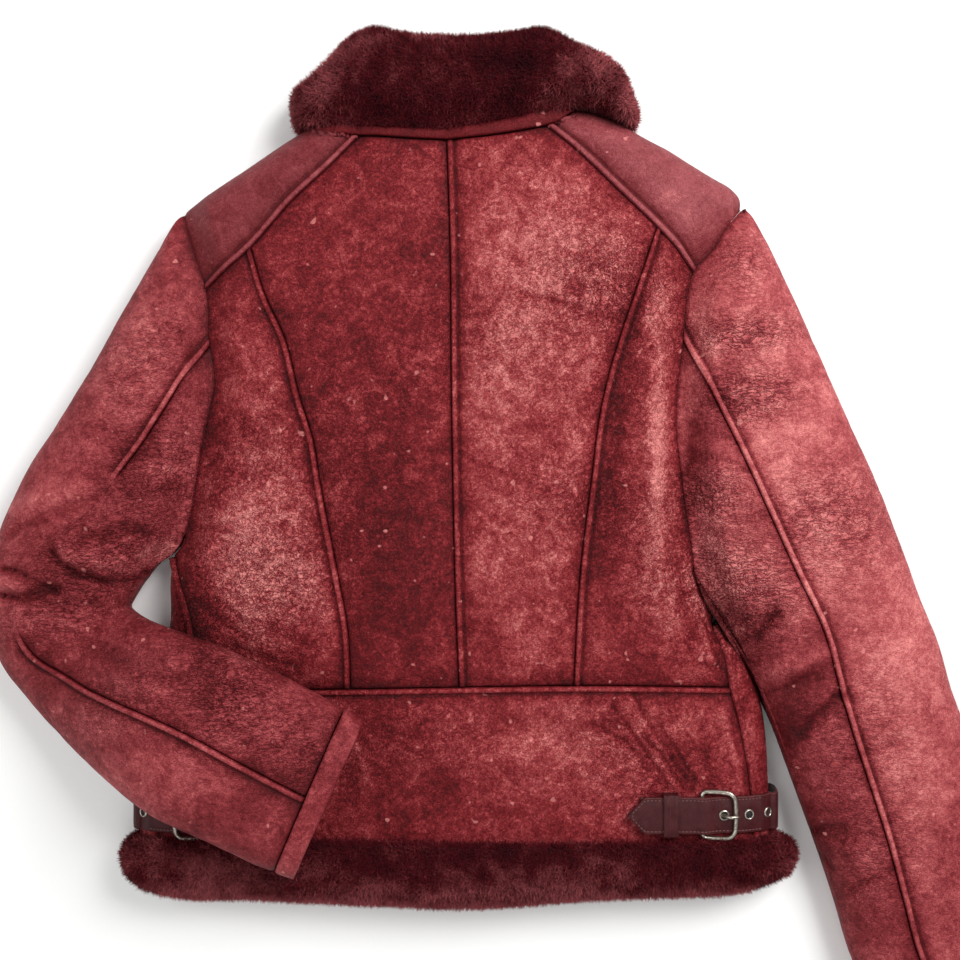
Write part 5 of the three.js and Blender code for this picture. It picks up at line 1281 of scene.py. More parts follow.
        outer = base + normal * (relief * quiet + seam)[..., None]
        outer[..., 2] = np.maximum(outer[..., 2], 0.05)
        # Painted shade beside the seams, a painted highlight on the raised lapped strip, and painted light and shade on
        # the large folds.
        tone = tone + (Edge.LAPPED if top else Edge.TUCKED).shade(from_seam) * kept + 0.12 * lapped
        tone = tone + Edge.JOINED.shade(from_armhole) + Edge.TUCKED.shade(from_cuff)
        tone = tone + 0.11 * fold_rise(base[..., 0], base[..., 1], self.folds) * (over > 0.5)
        places, faces = close_sheet(outer, base - normal * self.hide, thin=True)
        surface = Surface()
        surface.add(places, faces, tone=np.concatenate([tone.ravel()] * 2),
                    fine=np.concatenate([(fine * (1 - 0.7 * lapped)).ravel()] * 2))
        name = f"sleeve_{'top' if top else 'under'}_{self.side}"
        return finish_sheet(surface, name + "_hide", [self.finishes.sleeve], [name])

    def ring(self, s: float, inset: float, gap: float | None) -> Array:
        """One ring of the cuff: the outer skin pulled in by `inset`, or the mouth's own ring.

        Args:
            s: Distance along the sleeve.
            inset: How far in from the skin, in mm.
            gap: The mouth's height, or None for a ring on the skin.

        Returns:
            The ring's places.
        """
        row = self.section(np.array([s]))
        width = float(row["width"][0])
        fan = (1 - np.cos(np.linspace(0, 1, 41) * math.pi)) / 2
        if gap is None:
            top_d = inset + (width - 2 * inset) * fan
            top = self.place(np.full(41, s), top_d, np.ones(41, bool), np.zeros(41))
            low = self.place(np.full(41, s), top_d[::-1], np.zeros(41, bool), np.zeros(41))
            middle = (top[:, 2] + low[::-1, 2]) / 2
            top[:, 2] = np.maximum(top[:, 2] - inset, middle + 0.3)
            low[:, 2] = np.minimum(low[:, 2] + inset, middle[::-1] - 0.3)
            return np.vstack([top, low])
        d = self.wall + inset + (width - 2 * self.wall - 2 * inset) * fan
        span = width / 2 - self.wall - inset
        lens = roll(d - self.wall - inset, span) * roll(width - self.wall - inset - d, span)
        share = d / width
        x, y = mix(row["ix"], row["ox"], share), mix(row["iy"], row["oy"], share)
        middle = mix(row["low_i"], row["low_o"], share) + 0.42 * row["high"]
        half = gap / 2 * lens + 0.2
        top = np.stack([x, y, middle + half], -1)
        low = np.stack([x, y, middle - half], -1)[::-1]
        return np.vstack([top, low])

    def cuff(self) -> bpy.types.Object:
        """The cuff band, with the sleeve's fleece inside its mouth."""
        end = float(self.travel[-1])
        outside = np.linspace(self.cuff_at + 0.45, end - 1.2, 10)
        rings = [self.ring(s, 0.0, None) for s in outside]
        profile = [Edge.TUCKED.relief(s - self.cuff_at) + 0.7 for s in outside]
        rings += [self.ring(end - 0.4, 0.5, None), self.ring(end, 1.6, None)]
        profile += [0.5, 0.2]
        outer = len(rings)
        rim, mouth = self.ring(end, 3.0, None), self.ring(end - 2.0, -3.5, self.mouth_gap + 6)
        rings += [mix(rim, mouth, t) for t in (0.0, 0.35, 0.7, 1.0)]
        for back in np.linspace(6, self.mouth_depth, 14):
            shut = ease(np.array(1 - back / 115.0))
            rings.append(self.ring(end - back, 0.0, float(1.0 + (self.mouth_gap - 1.0) * shut)))
        rings.append(self.ring(end - self.mouth_depth, -1.5, 4.5 + (self.mouth_gap - 1.0) * 0.35))
        for back in np.linspace(self.mouth_depth - 6, end - self.cuff_at - 3, 6):
            shut = ease(np.array(1 - back / 115.0))
            rings.append(self.ring(end - back, -2.0, float(5.0 + (self.mouth_gap - 1.0) * shut)))
        base = np.stack(rings)
        row = self.section(outside)
        normal = grid_normals(base, ring=True)
        probe = normal[:outer, 10:30, 2].mean()
        normal = normal if probe > 0 else -normal
        amount = np.zeros(base.shape[:2])
        amount[:outer] = np.array(profile)[:, None]
        fan = (1 - np.cos(np.linspace(0, 1, 41) * math.pi)) / 2
        d = row["width"][:, None] * fan[None]
        past = d - row["seam"][:, None]
        amount[:10, :41] += np.where(past > 0, Edge.LAPPED.relief(np.maximum(past, 0)), Edge.TUCKED.relief(np.maximum(-past, 0))) * 0.8
        relief, fine, tone = crease_relief(base)
        amount[:outer] += relief[:outer] * 0.5
        amount[:, 41:] = np.minimum(amount[:, 41:], 0.2)
        places = base + normal * amount[..., None]
        places[..., 2] = np.maximum(places[..., 2], 0.05)
        n, m = places.shape[:2]
        faces = np.vstack([grid_faces(n, m, ring=True), seal_ring(n, m)])
        inside_faces = np.arange(len(faces)) // m >= outer + 1
        surface = Surface()
        surface.add(places, faces, tone=(tone - 0.05).ravel(), fine=fine.ravel() * 0.5, tip=np.full(n * m, 0.25))
        surface.finishes[0] = inside_faces.astype(int)
        name = f"cuff_{self.side}"
        return finish_sheet(surface, name + "_hide", [self.finishes.sleeve, self.finishes.fleece],
                            [name])

    def build(self) -> list[bpy.types.Object]:
        """Builds the sleeve's pieces."""
        return [self.cut_piece(True), self.cut_piece(False), self.cuff()]


@dataclass
class PileTree:
    """Geometry Nodes tree that plants short tufts on a fleece surface."""

    name: str = "plant_pile"

    def make(self, finish: bpy.types.Material) -> bpy.types.NodeTree:
        """Builds the tree with named inputs for the tufts' sizes."""
        tree = bpy.data.node_groups.new(self.name, "GeometryNodeTree")
        face = tree.interface
        face.new_socket("Geometry", in_out="INPUT", socket_type="NodeSocketGeometry")
        for title, value in (("Tufts per m2", 1.0e6), ("Length", 0.006), ("Width", 0.0006), ("Lean", 0.6)):
            face.new_socket(title, in_out="INPUT", socket_type="NodeSocketFloat").default_value = value
        face.new_socket("Seed", in_out="INPUT", socket_type="NodeSocketInt").default_value = 5
        face.new_socket("Geometry", in_out="OUTPUT", socket_type="NodeSocketGeometry")
        n = Nodes(tree)
        given = n.add("NodeGroupInput").outputs
        pile = n.add("GeometryNodeInputNamedAttribute", {"Name": "pile"}, data_type="FLOAT").outputs[0]
        points = n.add("GeometryNodeDistributePointsOnFaces", {"Mesh": given["Geometry"], "Density": n.math(
            "MULTIPLY", given["Tufts per m2"], pile), "Seed": given["Seed"]})
        blade = n.add("GeometryNodeMeshGrid", {"Size X": given["Width"], "Size Y": given["Length"], "Vertices X": 2, "Vertices Y": 2})
        place = n.add("ShaderNodeSeparateXYZ", {0: n.add("GeometryNodeInputPosition").outputs[0]})
        up = n.math("ADD", n.math("DIVIDE", place.outputs[1], given["Length"]), 0.5)
        slim = n.math("SUBTRACT", 1.0, n.math("MULTIPLY", n.math("MULTIPLY", up, up), 0.9))
        lean = n.math("MULTIPLY", n.math("MULTIPLY", up, up), n.math("MULTIPLY", given["Length"], given["Lean"]))
        stand = n.add("ShaderNodeCombineXYZ", {0: n.math("MULTIPLY", place.outputs[0], slim), 1: lean,
                                               2: n.math("MULTIPLY", up, given["Length"])})
        marked = n.add("GeometryNodeStoreNamedAttribute", {"Geometry": blade.outputs[0], "Name": "tip", "Value": up}, data_type="FLOAT")
        shaped = n.add("GeometryNodeSetPosition", {"Geometry": marked.outputs[0], "Position": stand.outputs[0]})
        turn = n.add("FunctionNodeRandomValue", {"Min": (-0.5, -0.5, 0.0), "Max": (0.5, 0.5, 6.283), "Seed": given["Seed"]},
                     data_type="FLOAT_VECTOR").outputs[0]
        local = n.add("FunctionNodeRotateRotation", {"Rotation": points.outputs["Rotation"], "Rotate By": turn},
                      rotation_space="LOCAL")
        size = n.add("FunctionNodeRandomValue", {2: 0.55, 3: 1.2, "Seed": n.math("ADD", given["Seed"], 7.0)}, data_type="FLOAT").outputs[1]
        tufts = n.add("GeometryNodeInstanceOnPoints", {"Points": points.outputs["Points"], "Instance": shaped.outputs[0],
                                                       "Rotation": local.outputs[0], "Scale": size})
        real = n.add("GeometryNodeRealizeInstances", {0: tufts.outputs[0]})
        done = n.add("GeometryNodeSetMaterial", {"Geometry": real.outputs[0], "Material": finish})
        tree.links.new(done.outputs[0], n.add("NodeGroupOutput").inputs[0])
        return tree


def heights(mesh: bpy.types.Mesh) -> Array:
    """Height of each of a mesh's places, in metres."""
    places = np.zeros(3 * len(mesh.vertices))
    mesh.vertices.foreach_get("co", places)
    return places[2::3]


def run_tree(name: str, source: bpy.types.Mesh, tree: bpy.types.NodeTree, values: dict[str, object]) -> bpy.types.Object:
    """Runs a Geometry Nodes tree on a mesh and keeps the result as a plain mesh.

    Args:
        name: The new piece's name.
        source: The mesh that the tree starts from.
        tree: The tree.
        values: The tree's inputs by name.

    Returns:
        The new piece.
    """
    carrier = bpy.data.objects.new(name + "_carrier", source)
    bpy.context.scene.collection.objects.link(carrier)
    modifier = carrier.modifiers.new("tree", "NODES")
    modifier.node_group = tree
    sockets = {item.name: item.identifier for item in tree.interface.items_tree if item.in_out == "INPUT"}
    for title, value in values.items():
        modifier[sockets[title]] = value
    evaluated = carrier.evaluated_get(bpy.context.evaluated_depsgraph_get())
    mesh = bpy.data.meshes.new_from_object(evaluated)
    carrier.modifiers.clear()
    bpy.data.objects.remove(carrier)
    mesh.name = name
    piece = bpy.data.objects.new(name, mesh)
    bpy.context.scene.collection.objects.link(piece)
    return piece


@dataclass
class Fleece:
    """The collar and the hem trim, with their pile."""

    finishes: Finishes
    clear: float = 3.0
    tufts: int = 72000

    def body(self, surface: Surface, plan: Array, top: Array, low: Array, pile_low: bool, tone: Array | float = 0.0) -> None:
        """Adds one closed body of fleece between two heights over a grid of places.

        Args:
            surface: What it is added to.
            plan: Places in plan.
            top: Height of its upper face.
            low: Height of its lower face.
            pile_low: Whether the lower face has pile too.
            tone: How light it is.
        """
        x, y = plan[..., 0], plan[..., 1]
        thick = np.clip((top - low) / 12.0, 0.0, 1.0)
        clump = 1.1 * noise(x, y, 13.0, 83, 3) + 0.6 * noise(x, y, 5.0, 91, 2)
        upper = np.dstack([x, y, top + clump * thick])
        lower = np.dstack([x, y, low])
        places, faces = close_sheet(upper, lower)
        count = x.size
        pile = np.concatenate([np.ones(count), np.full(count, 1.0 if pile_low else 0.0)])
        # The body's own surface lies at the tufts' roots and takes their darker colour, a painted shade.
        surface.add(places, faces, tone=np.broadcast_to(np.concatenate([np.broadcast_to(tone, x.shape).ravel()] * 2), (2 * count,)),
                    pile=pile, tip=np.full(2 * count, 0.15))

    def finish(self, surface: Surface, name: str, tufts: int, length: float) -> list[bpy.types.Object]:
        """Builds one fleece body and its pile, which grows where it is clear of the ground and ends above it."""
        piece = surface.build(name + "_fleece", [self.finishes.fleece])
        area = sum(p.area for p in piece.data.polygons)
        share = np.zeros(len(piece.data.vertices))
        grown = piece.data.attributes["pile"].data
        grown.foreach_get("value", share)
        share = share * (heights(piece.data) > self.clear * MM)
        grown.foreach_set("value", share)
        shown = max(area * float(share.mean()), 1e-4)
        tree = bpy.data.node_groups.get("plant_pile") or PileTree().make(self.finishes.fleece)
        pile = run_tree(name + "_pile", piece.data, tree, {"Tufts per m2": tufts / shown, "Length": length, "Width": 0.0008,
                                                           "Lean": 1.1, "Seed": 5})
        places = np.zeros((len(pile.data.vertices), 3))
        pile.data.vertices.foreach_get("co", places.ravel())
        places[:, 2] = np.maximum(places[:, 2], 0.1 * MM)
        pile.data.vertices.foreach_set("co", places.ravel())
        for made in (piece, pile):
            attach(made, "root")
        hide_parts(name)
        LOG.info("%s: %d faces and %d of pile", name, len(piece.data.polygons), len(pile.data.polygons))
        return [piece, pile]

    def collar(self) -> list[bpy.types.Object]:
        """The collar, its back leaf over its front leaves."""
        rows = np.array(COLLAR_ROWS, float)
        neck, free = smooth(rows[:, :2], 6), smooth(rows[:, 2:], 6)
        ends = [np.stack([neck[0], free[0]]), np.stack([neck[-1], free[-1]])]
        v = np.linspace(0, 1, 120)
        u = np.sin(np.linspace(0, 1, 40) * math.pi / 2)
        key = np.linspace(0, 1, len(neck))
        neck_at = np.stack([np.interp(v, key, neck[:, k]) for k in (0, 1)], -1)
        free_at = np.stack([np.interp(v, key, free[:, k]) for k in (0, 1)], -1)
        plan = mix(neck_at[:, None], free_at[:, None], u[None, :, None])
        x, y = plan[..., 0], plan[..., 1]
        edge = distance(x, y, [free, *ends])
        rise = RIM_TOP + (COLLAR_TOP - RIM_TOP) * roll(edge, COLLAR_ROLL)
        top = mix(np.minimum(rise, WAIST_TOP + 7), rise, ease(u / 0.3)[None])
        low = under_rim(distance(x, y, [np.vstack([neck[:1], free, neck[-1:]])]))
        surface = Surface()
        px, py = to_pixels(x, y, top)
        # Light and dark patches, with painted shade along the collar's lower edge; the collar is also lighter along its
        # free edge.
        tone = patch_field(px, py, FLEECE_TONES_AND_PAINTED_SHADE) + 0.45 * np.exp(-(edge / 6) ** 2)
        self.body(surface, plan, top, low, True, tone)
        for side, xs in (("left", np.linspace(-91, FRONT_EDGE_X - 0.5, 50)), ("right", np.linspace(FRONT_EDGE_X + 0.5, 78, 24))):
            seam = at_x(CURVES[f"front_neck_{side}"], xs) + 1.2
            back = np.interp(xs, neck[:, 0], neck[:, 1]) - 0.4
            leaf = np.stack([np.repeat(xs[:, None], 20, 1), mix(seam[:, None], back[:, None], np.linspace(0, 1, 20)[None])], -1)
            self.body(surface, leaf, np.full(leaf.shape[:2], FRONT_WALL - 0.4), np.full(leaf.shape[:2], 0.2), False)
            surface.values["pile"][-1] = np.zeros(leaf.shape[0] * leaf.shape[1] * 2)
        return self.finish(surface, "collar", self.tufts, 0.0036)

    def hem_height(self, x: Array, y: Array) -> Array:
        """Height of the hem trim."""
        edge = distance(x, y, [CURVES["hem_low"], CURVES["hem_end_left"], CURVES["hem_end_right"]])
        return RIM_TOP + (HEM_TOP - RIM_TOP) * roll(edge, HEM_ROLL)

    def hem(self) -> list[bpy.types.Object]:
        """The hem trim: a back strip and two front strips."""
        made = []
        xs = np.linspace(-218.3, 220.3, 190)
        start, end = at_x(CURVES["hem_top"], xs) - 0.15, at_x(CURVES["hem_low"], xs)
        u = np.sin(np.linspace(0, 1, 26) * math.pi / 2)
        plan = np.stack([np.repeat(xs[:, None], 26, 1), mix(start[:, None], end[:, None], u[None])], -1)
        x, y = plan[..., 0], plan[..., 1]
        top = np.maximum(self.hem_height(x, y), FRONT_WALL + 2.15)
        px, py = to_pixels(x, y, top)
        # Lighter towards the lower edge, and a painted shade along the top, in the crease against the waist panel.
        tone = patch_field(px, py, FLEECE_TONES_AND_PAINTED_SHADE) + 0.95 * np.exp(-((y - end[:, None]) / 10) ** 2)
        tone = tone + 0.08 - 0.2 * np.exp(-((y - start[:, None]) / 4) ** 2)
        surface = Surface()
        self.body(surface, plan, top, np.full(x.shape, FRONT_WALL + 0.15), False, tone)
        made += self.finish(surface, "hem_trim_back", self.tufts, 0.0038)
        for side in ("left", "right"):
            made += self.hem_front(side)
        return made

    def hem_front(self, side: str) -> list[bpy.types.Object]:
        """One front strip of the hem, which turns up round the corner to the side seam."""
        left = side == "left"
        sign = -1 if left else 1
        line = CURVES[f"hem_end_{side}"]
        seam_x = -218.5 if left else 220.5
        along_x = np.concatenate([np.linspace(FRONT_EDGE_X + sign * 0.15, seam_x + sign * 0.05, 60), [seam_x + sign * 0.15]])
        corner_u = np.linspace(0, 1, 14)[1:]
        u = np.sin(np.linspace(0, 1, 26) * math.pi / 2)
        flat = np.stack([np.repeat(along_x[:, None], 26, 1),
                         mix(HEM_SEAM_Y, at_x(CURVES["hem_low"], along_x)[:, None], u[None])], -1)
        last = along(np.vstack([[(line[0, 0], HEM_SEAM_Y)], line[1:]]), u)
        turned = np.stack([mix(flat[-1], last, t) for t in corner_u])
        plan = np.concatenate([flat, turned])
        x, y = plan[..., 0], plan[..., 1]
        rises = np.arange(len(plan)) >= len(along_x) - 1
        top = np.where(rises[:, None], np.maximum(self.hem_height(x, y), RIM_TOP), FRONT_WALL - 0.15)
        low = under_rim(distance(x, y, [CURVES["hem_low"], line]))
        surface = Surface()
        self.body(surface, plan, top, low, False, 0.1)
        shown = np.concatenate([np.repeat(rises, plan.shape[1]).astype(float), (low.ravel() > 0.3).astype(float)])
        surface.values["pile"][-1] = shown
        return self.finish(surface, f"hem_trim_front_{side}", 14000, 0.0036)

    def build(self) -> list[bpy.types.Object]:
        """Builds the collar and the hem."""
        return self.collar() + self.hem()


@dataclass
class NeckPiping:
    """The narrow piping between the collar and the back."""

    finishes: Finishes

    def build(self) -> bpy.types.Object:
        """Builds the piping."""
        xs = np.linspace(-104, 88, 130)
        start, end = at_x(CURVES["neck_low"], xs) + 0.15, at_x(CURVES["neck"], xs) - 0.15
        u = (1 - np.cos(np.linspace(0, 1, 12) * math.pi)) / 2
        start = mix(end - 0.4, start, ease((xs + 106) / 9) * ease((90 - xs) / 14))
        y = mix(start[:, None], end[:, None], u[None])
        x = np.repeat(xs[:, None], 12, 1)
        bulge = 0.2 + 2.2 * np.sin(np.linspace(0, 1, 12) * math.pi)[None] ** 0.6
        base = np.dstack([x, y, body_top(x, y) + bulge])
        places, faces = close_sheet(base, base - np.array([0, 0, 3.0]))
        surface = Surface()
        surface.add(places, faces, tone=np.full(len(places), -0.1), fine=np.full(len(places), 0.15))
        return finish_sheet(surface, "neck_piping_hide", [self.finishes.piping], ["neck_piping"])


@dataclass
class StitchTree:
    """Geometry Nodes tree that sets stitches along lines."""

    name: str = "set_stitches"

    def make(self, finish: bpy.types.Material) -> bpy.types.NodeTree:
        """Builds the tree with named inputs for the stitches' sizes."""
        tree = bpy.data.node_groups.new(self.name, "GeometryNodeTree")
        face = tree.interface
        face.new_socket("Geometry", in_out="INPUT", socket_type="NodeSocketGeometry")
        for title, value in (("Spacing", 0.0028), ("Radius", 0.0003), ("Stretch", 3.4)):
            face.new_socket(title, in_out="INPUT", socket_type="NodeSocketFloat").default_value = value
        face.new_socket("Geometry", in_out="OUTPUT", socket_type="NodeSocketGeometry")
        n = Nodes(tree)
        given = n.add("NodeGroupInput").outputs
        lines = n.add("GeometryNodeMeshToCurve", {"Mesh": given["Geometry"]})
        points = n.add("GeometryNodeCurveToPoints", {"Curve": lines.outputs[0], "Length": given["Spacing"]}, mode="LENGTH")
        stitch = n.add("GeometryNodeMeshUVSphere", {"Segments": 6, "Rings": 4, "Radius": given["Radius"]})
        size = n.add("ShaderNodeCombineXYZ", {0: 1.0, 1: 1.0, 2: given["Stretch"]})
        sewn = n.add("GeometryNodeInstanceOnPoints", {"Points": points.outputs["Points"], "Instance": stitch.outputs[0],
                                                      "Rotation": points.outputs["Rotation"], "Scale": size.outputs[0]})
        real = n.add("GeometryNodeRealizeInstances", {0: sewn.outputs[0]})
        done = n.add("GeometryNodeSetMaterial", {"Geometry": real.outputs[0], "Material": finish})
        tree.links.new(done.outputs[0], n.add("NodeGroupOutput").inputs[0])
        return tree


@dataclass
class SideStrap:
    """A side strap: tab, strap with eyelets, keeper, buckle frame and prong."""

    side: str
    finishes: Finishes
    y: float = -245.0
    width: float = 27.0
    thick: float = 3.0
    tab_thick: float = 2.4
    mirror_x: float = 0.75
    bar: float = 3.4
    made: list[bpy.types.Object] = field(default_factory=list)

    def px(self, x: Array) -> Array:
        """The place x on this side, from that on the right side."""
        return x if self.side == "right" else 2 * self.mirror_x - x

    def ground(self, x: Array) -> Array:
        """Height of the waist panel under the strap's middle."""
        x = np.asarray(x, float)
        return body_top(self.px(x), np.full(x.shape, self.y))

    def over(self, x: Array) -> Array:
        """How far the strap's underside is over the panel."""
        on_bar = np.exp(-(((x - 181.5) / 8) ** 2)) * (self.bar + 0.4)
        on_tab = (self.tab_thick + 0.3) * ease((188 - x) / 4)
        return 0.3 + np.maximum(on_tab, on_bar)

    def ribbon(self, path: Array, thick: float, half: Array, finish: bpy.types.Material, name: str,
               nodes: Sequence[str], groove: float = 2.2) -> bpy.types.Object:
        """A strip of leather along a path.

        Args:
            path: Places x and z of its underside's middle.
            thick: Its thickness.
            half: Half its width at each place.
            finish: Its material.
            name: The piece's name.
            nodes: The solids that it stands for.
            groove: Distance of the stitch line from its edges.

        Returns:
            The piece.
        """
        v = np.array([-1, -0.985, -0.95, -0.9, -0.86, -0.82, -0.76, -0.4, 0, 0.4, 0.76, 0.82, 0.86, 0.9, 0.95, 0.985, 1])
        step = np.gradient(path, axis=0)
        step /= np.linalg.norm(step, axis=1, keepdims=True)
        up = np.stack([-step[:, 1], step[:, 0]], -1)
        rounded = thick * (1 - 0.32 * np.abs(v) ** 30 * 1.0) - 0.25 * np.exp(-((np.abs(v) * half.max() - half.max() + groove) / 0.6) ** 2)
        top = path[:, None] + up[:, None] * rounded[None, :, None]
        low = path[:, None] + up[:, None] * (thick * 0.12 * np.abs(v) ** 20)[None, :, None]
        y = self.y + v[None] * half[:, None]
        upper = np.stack([self.px(top[..., 0]), y, top[..., 1]], -1)
        lower = np.stack([self.px(low[..., 0]), y, low[..., 1]], -1)
        places, faces = close_sheet(upper, lower)
        surface = Surface()
        edge = np.broadcast_to(np.abs(v) > 0.94, upper.shape[:2]).ravel().astype(float)
        surface.add(places, faces, edge=np.concatenate([edge, edge * 0]))
        piece = surface.build(name, [finish])
        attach(piece, "root")
        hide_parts(*nodes)
        self.made.append(piece)
        return piece

    def strap_path(self) -> Array:
        """Places x and z of the strap's underside, from its tip round the jacket's side."""
        x = np.concatenate([np.linspace(126.5, 138, 14), np.linspace(139.5, 221.9, 74)])
        flat = np.stack([x, self.ground(x) + self.over(x)], -1)
        end = [(x, float(self.ground(np.array(x))) + 1.0) for x in (225.0, 228.0, 231.0, 233.0)]
        end += [(236, RIM_TOP + 11), (238.6, RIM_TOP + 4), (239.6, RIM_TOP - 4), (239.6, 6), (238.4, 2.2)]
        curve = smooth([tuple(flat[-4]), tuple(flat[-1]), *end], 5)
        return np.vstack([flat[:-4], curve])

    def strap(self) -> bpy.types.Object:
        """The long strap and the stitches along it."""
        path = self.strap_path()
        half = self.width / 2 * np.clip((path[:, 0] - 126.0) / 13, 0.04, 1)
        self.stitch(path, half)
        return self.ribbon(path, self.thick, half, self.finishes.strap, f"strap_{self.side}_hide", [f"strap_{self.side}"])

    def stitch(self, path: Array, half: Array) -> None:
        """The stitches along both edges of the strap and round its tip."""
        shown = (path[:, 0] > 129.5) & (path[:, 0] < 234)
        line = np.stack([path[shown, 0], half[shown] - 2.2, path[shown, 1] + self.thick - 0.1], -1)
        line = line[line[:, 1] > 0.3]
        line = np.vstack([line[::-1], line * (1, -1, 1)])
        places = np.stack([self.px(line[:, 0]), self.y + line[:, 1], line[:, 2]], -1) * MM
        source = bpy.data.meshes.new("stitch_line")
        source.from_pydata(places.tolist(), [(k, k + 1) for k in range(len(places) - 1)], [])
        tree = bpy.data.node_groups.get("set_stitches") or StitchTree().make(self.finishes.thread)
        piece = run_tree(f"strap_{self.side}_stitches", source, tree, {"Spacing": 0.0028, "Radius": 0.0003, "Stretch": 3.4})
        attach(piece, "root")
        self.made.append(piece)

    def tab(self) -> bpy.types.Object:
        """The sewn tab that holds the buckle."""
        x = np.linspace(136, 178.5, 40)
        path = np.stack([x, self.ground(x) + 0.3], -1)
        return self.ribbon(path, self.tab_thick, np.full(40, self.width / 2 - 0.8), self.finishes.strap,
                           f"strap_tab_{self.side}_hide", [f"strap_tab_{self.side}"])

    def keeper(self) -> bpy.types.Object:
        """The loop round strap and tab."""
        half, wall = self.width / 2 + 0.5, 1.8
        xs = np.array([152.5, 152.8, 153.6, 155.0, 156.6, 157.0, 157.4, 158.6, 159.0, 159.4, 161.0, 162.4, 163.2, 163.5])
        rise = np.array([-0.5, 0, 0.25, 0.25, 0.1, -0.25, 0.1, 0.1, -0.25, 0.1, 0.25, 0.25, 0, -0.5])
        top = self.ground(xs) + self.over(xs) + self.thick + 0.3
        rings = []
        for k, x in enumerate(xs):
            foot = float(self.ground(np.array(x))) + 0.3
            t = top[k]
            outside = [(-half - wall, foot), (-half - wall, t), (-half - wall + 0.5, t + wall - 0.5), (-half, t + wall + rise[k]),
                       (-half * 0.5, t + wall + rise[k]), (0, t + wall + rise[k]), (half * 0.5, t + wall + rise[k]),
                       (half, t + wall + rise[k]), (half + wall - 0.5, t + wall - 0.5), (half + wall, t), (half + wall, foot)]
            within = [(half, foot), (half, t), (half * 0.5, t), (0, t), (-half * 0.5, t), (-half, t), (-half, foot)]
            rings.append([(self.px(x), self.y + v, z) for v, z in outside + within])
        base = np.array(rings, float)
        n, m = base.shape[:2]
        body = grid_faces(n, m, ring=True)
        caps = []
        for i in (0, n - 1):
            o = i * m
            pairs = [(0, 17, 16, 1), (1, 16, 15, 2), (2, 15, 15, 3), (3, 15, 14, 4), (4, 14, 13, 5), (5, 13, 12, 6),
                     (6, 12, 12, 7), (7, 12, 12, 8), (8, 12, 11, 9), (9, 11, 11, 10)]
            caps += [tuple(o + c for c in (p if i else p[::-1])) for p in pairs]
        surface = Surface()
        surface.add(base, np.vstack([body, np.array(caps)]), edge=np.tile((rise < 0).astype(float)[:, None], (1, m)).ravel())
        piece = surface.build(f"strap_keeper_{self.side}_hide", [self.finishes.strap])
        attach(piece, "root")
        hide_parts(f"strap_keeper_{self.side}")
        self.made.append(piece)
        return piece

    def tube(self, path: Array, radius: Array, closed: bool, name: str, nodes: Sequence[str]) -> bpy.types.Object:
        """A round bar of metal along a path."""
        count = 14
        ahead = np.roll(path, -1, 0) - np.roll(path, 1, 0) if closed else np.gradient(path, axis=0)
        ahead /= np.linalg.norm(ahead, axis=1, keepdims=True)
        side = np.cross(ahead, (0.0, 0.0, 1.0))
        side /= np.linalg.norm(side, axis=1, keepdims=True)
        up = np.cross(side, ahead)
        angle = np.arange(count) / count * 2 * math.pi
        rings = path[:, None] + radius[:, None, None] * (side[:, None] * np.cos(angle)[None, :, None] + up[:, None] * np.sin(angle)[None, :, None])
        n, m = rings.shape[:2]
        if closed:
            places, faces = rings.reshape(-1, 3), np.vstack([grid_faces(n, m, ring=True), seal_ring(n, m)])
        else:
            places = np.vstack([rings.reshape(-1, 3), path[:1], path[-1:]])
            j = np.arange(m)
            k = (j + 1) % m
            start = np.stack([np.full(m, n * m), np.full(m, n * m), k, j], -1)
            end = np.stack([np.full(m, n * m + 1), np.full(m, n * m + 1), (n - 1) * m + j, (n - 1) * m + k], -1)
            faces = np.vstack([grid_faces(n, m, ring=True), start, end])
        return self.metal(places, faces, name, nodes)

    def metal(self, places: Array, faces: Array, name: str, nodes: Sequence[str]) -> bpy.types.Object:
        """Builds a piece of metal from places and faces, with triangles where two corners are one."""
        mesh = bpy.data.meshes.new(name)
        corners = places[faces[:, :3]]
        volume = np.einsum("ij,ij->i", corners[:, 0], np.cross(corners[:, 1], corners[:, 2])).sum()
        last = places[faces[:, [0, 2, 3]]]
        volume += np.einsum("ij,ij->i", last[:, 0], np.cross(last[:, 1], last[:, 2])).sum()
        if volume < 0:
            faces = faces[:, ::-1]
        mesh.from_pydata((places * MM).tolist(), [], [list(dict.fromkeys(f)) for f in faces.tolist()])
        mesh.materials.append(self.finishes.nickel)
        mesh.polygons.foreach_set("use_smooth", np.ones(len(mesh.polygons), bool))
        piece = bpy.data.objects.new(name, mesh)
        bpy.context.scene.collection.objects.link(piece)
        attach(piece, "root")
        if nodes:
            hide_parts(*nodes)
        self.made.append(piece)
        return piece

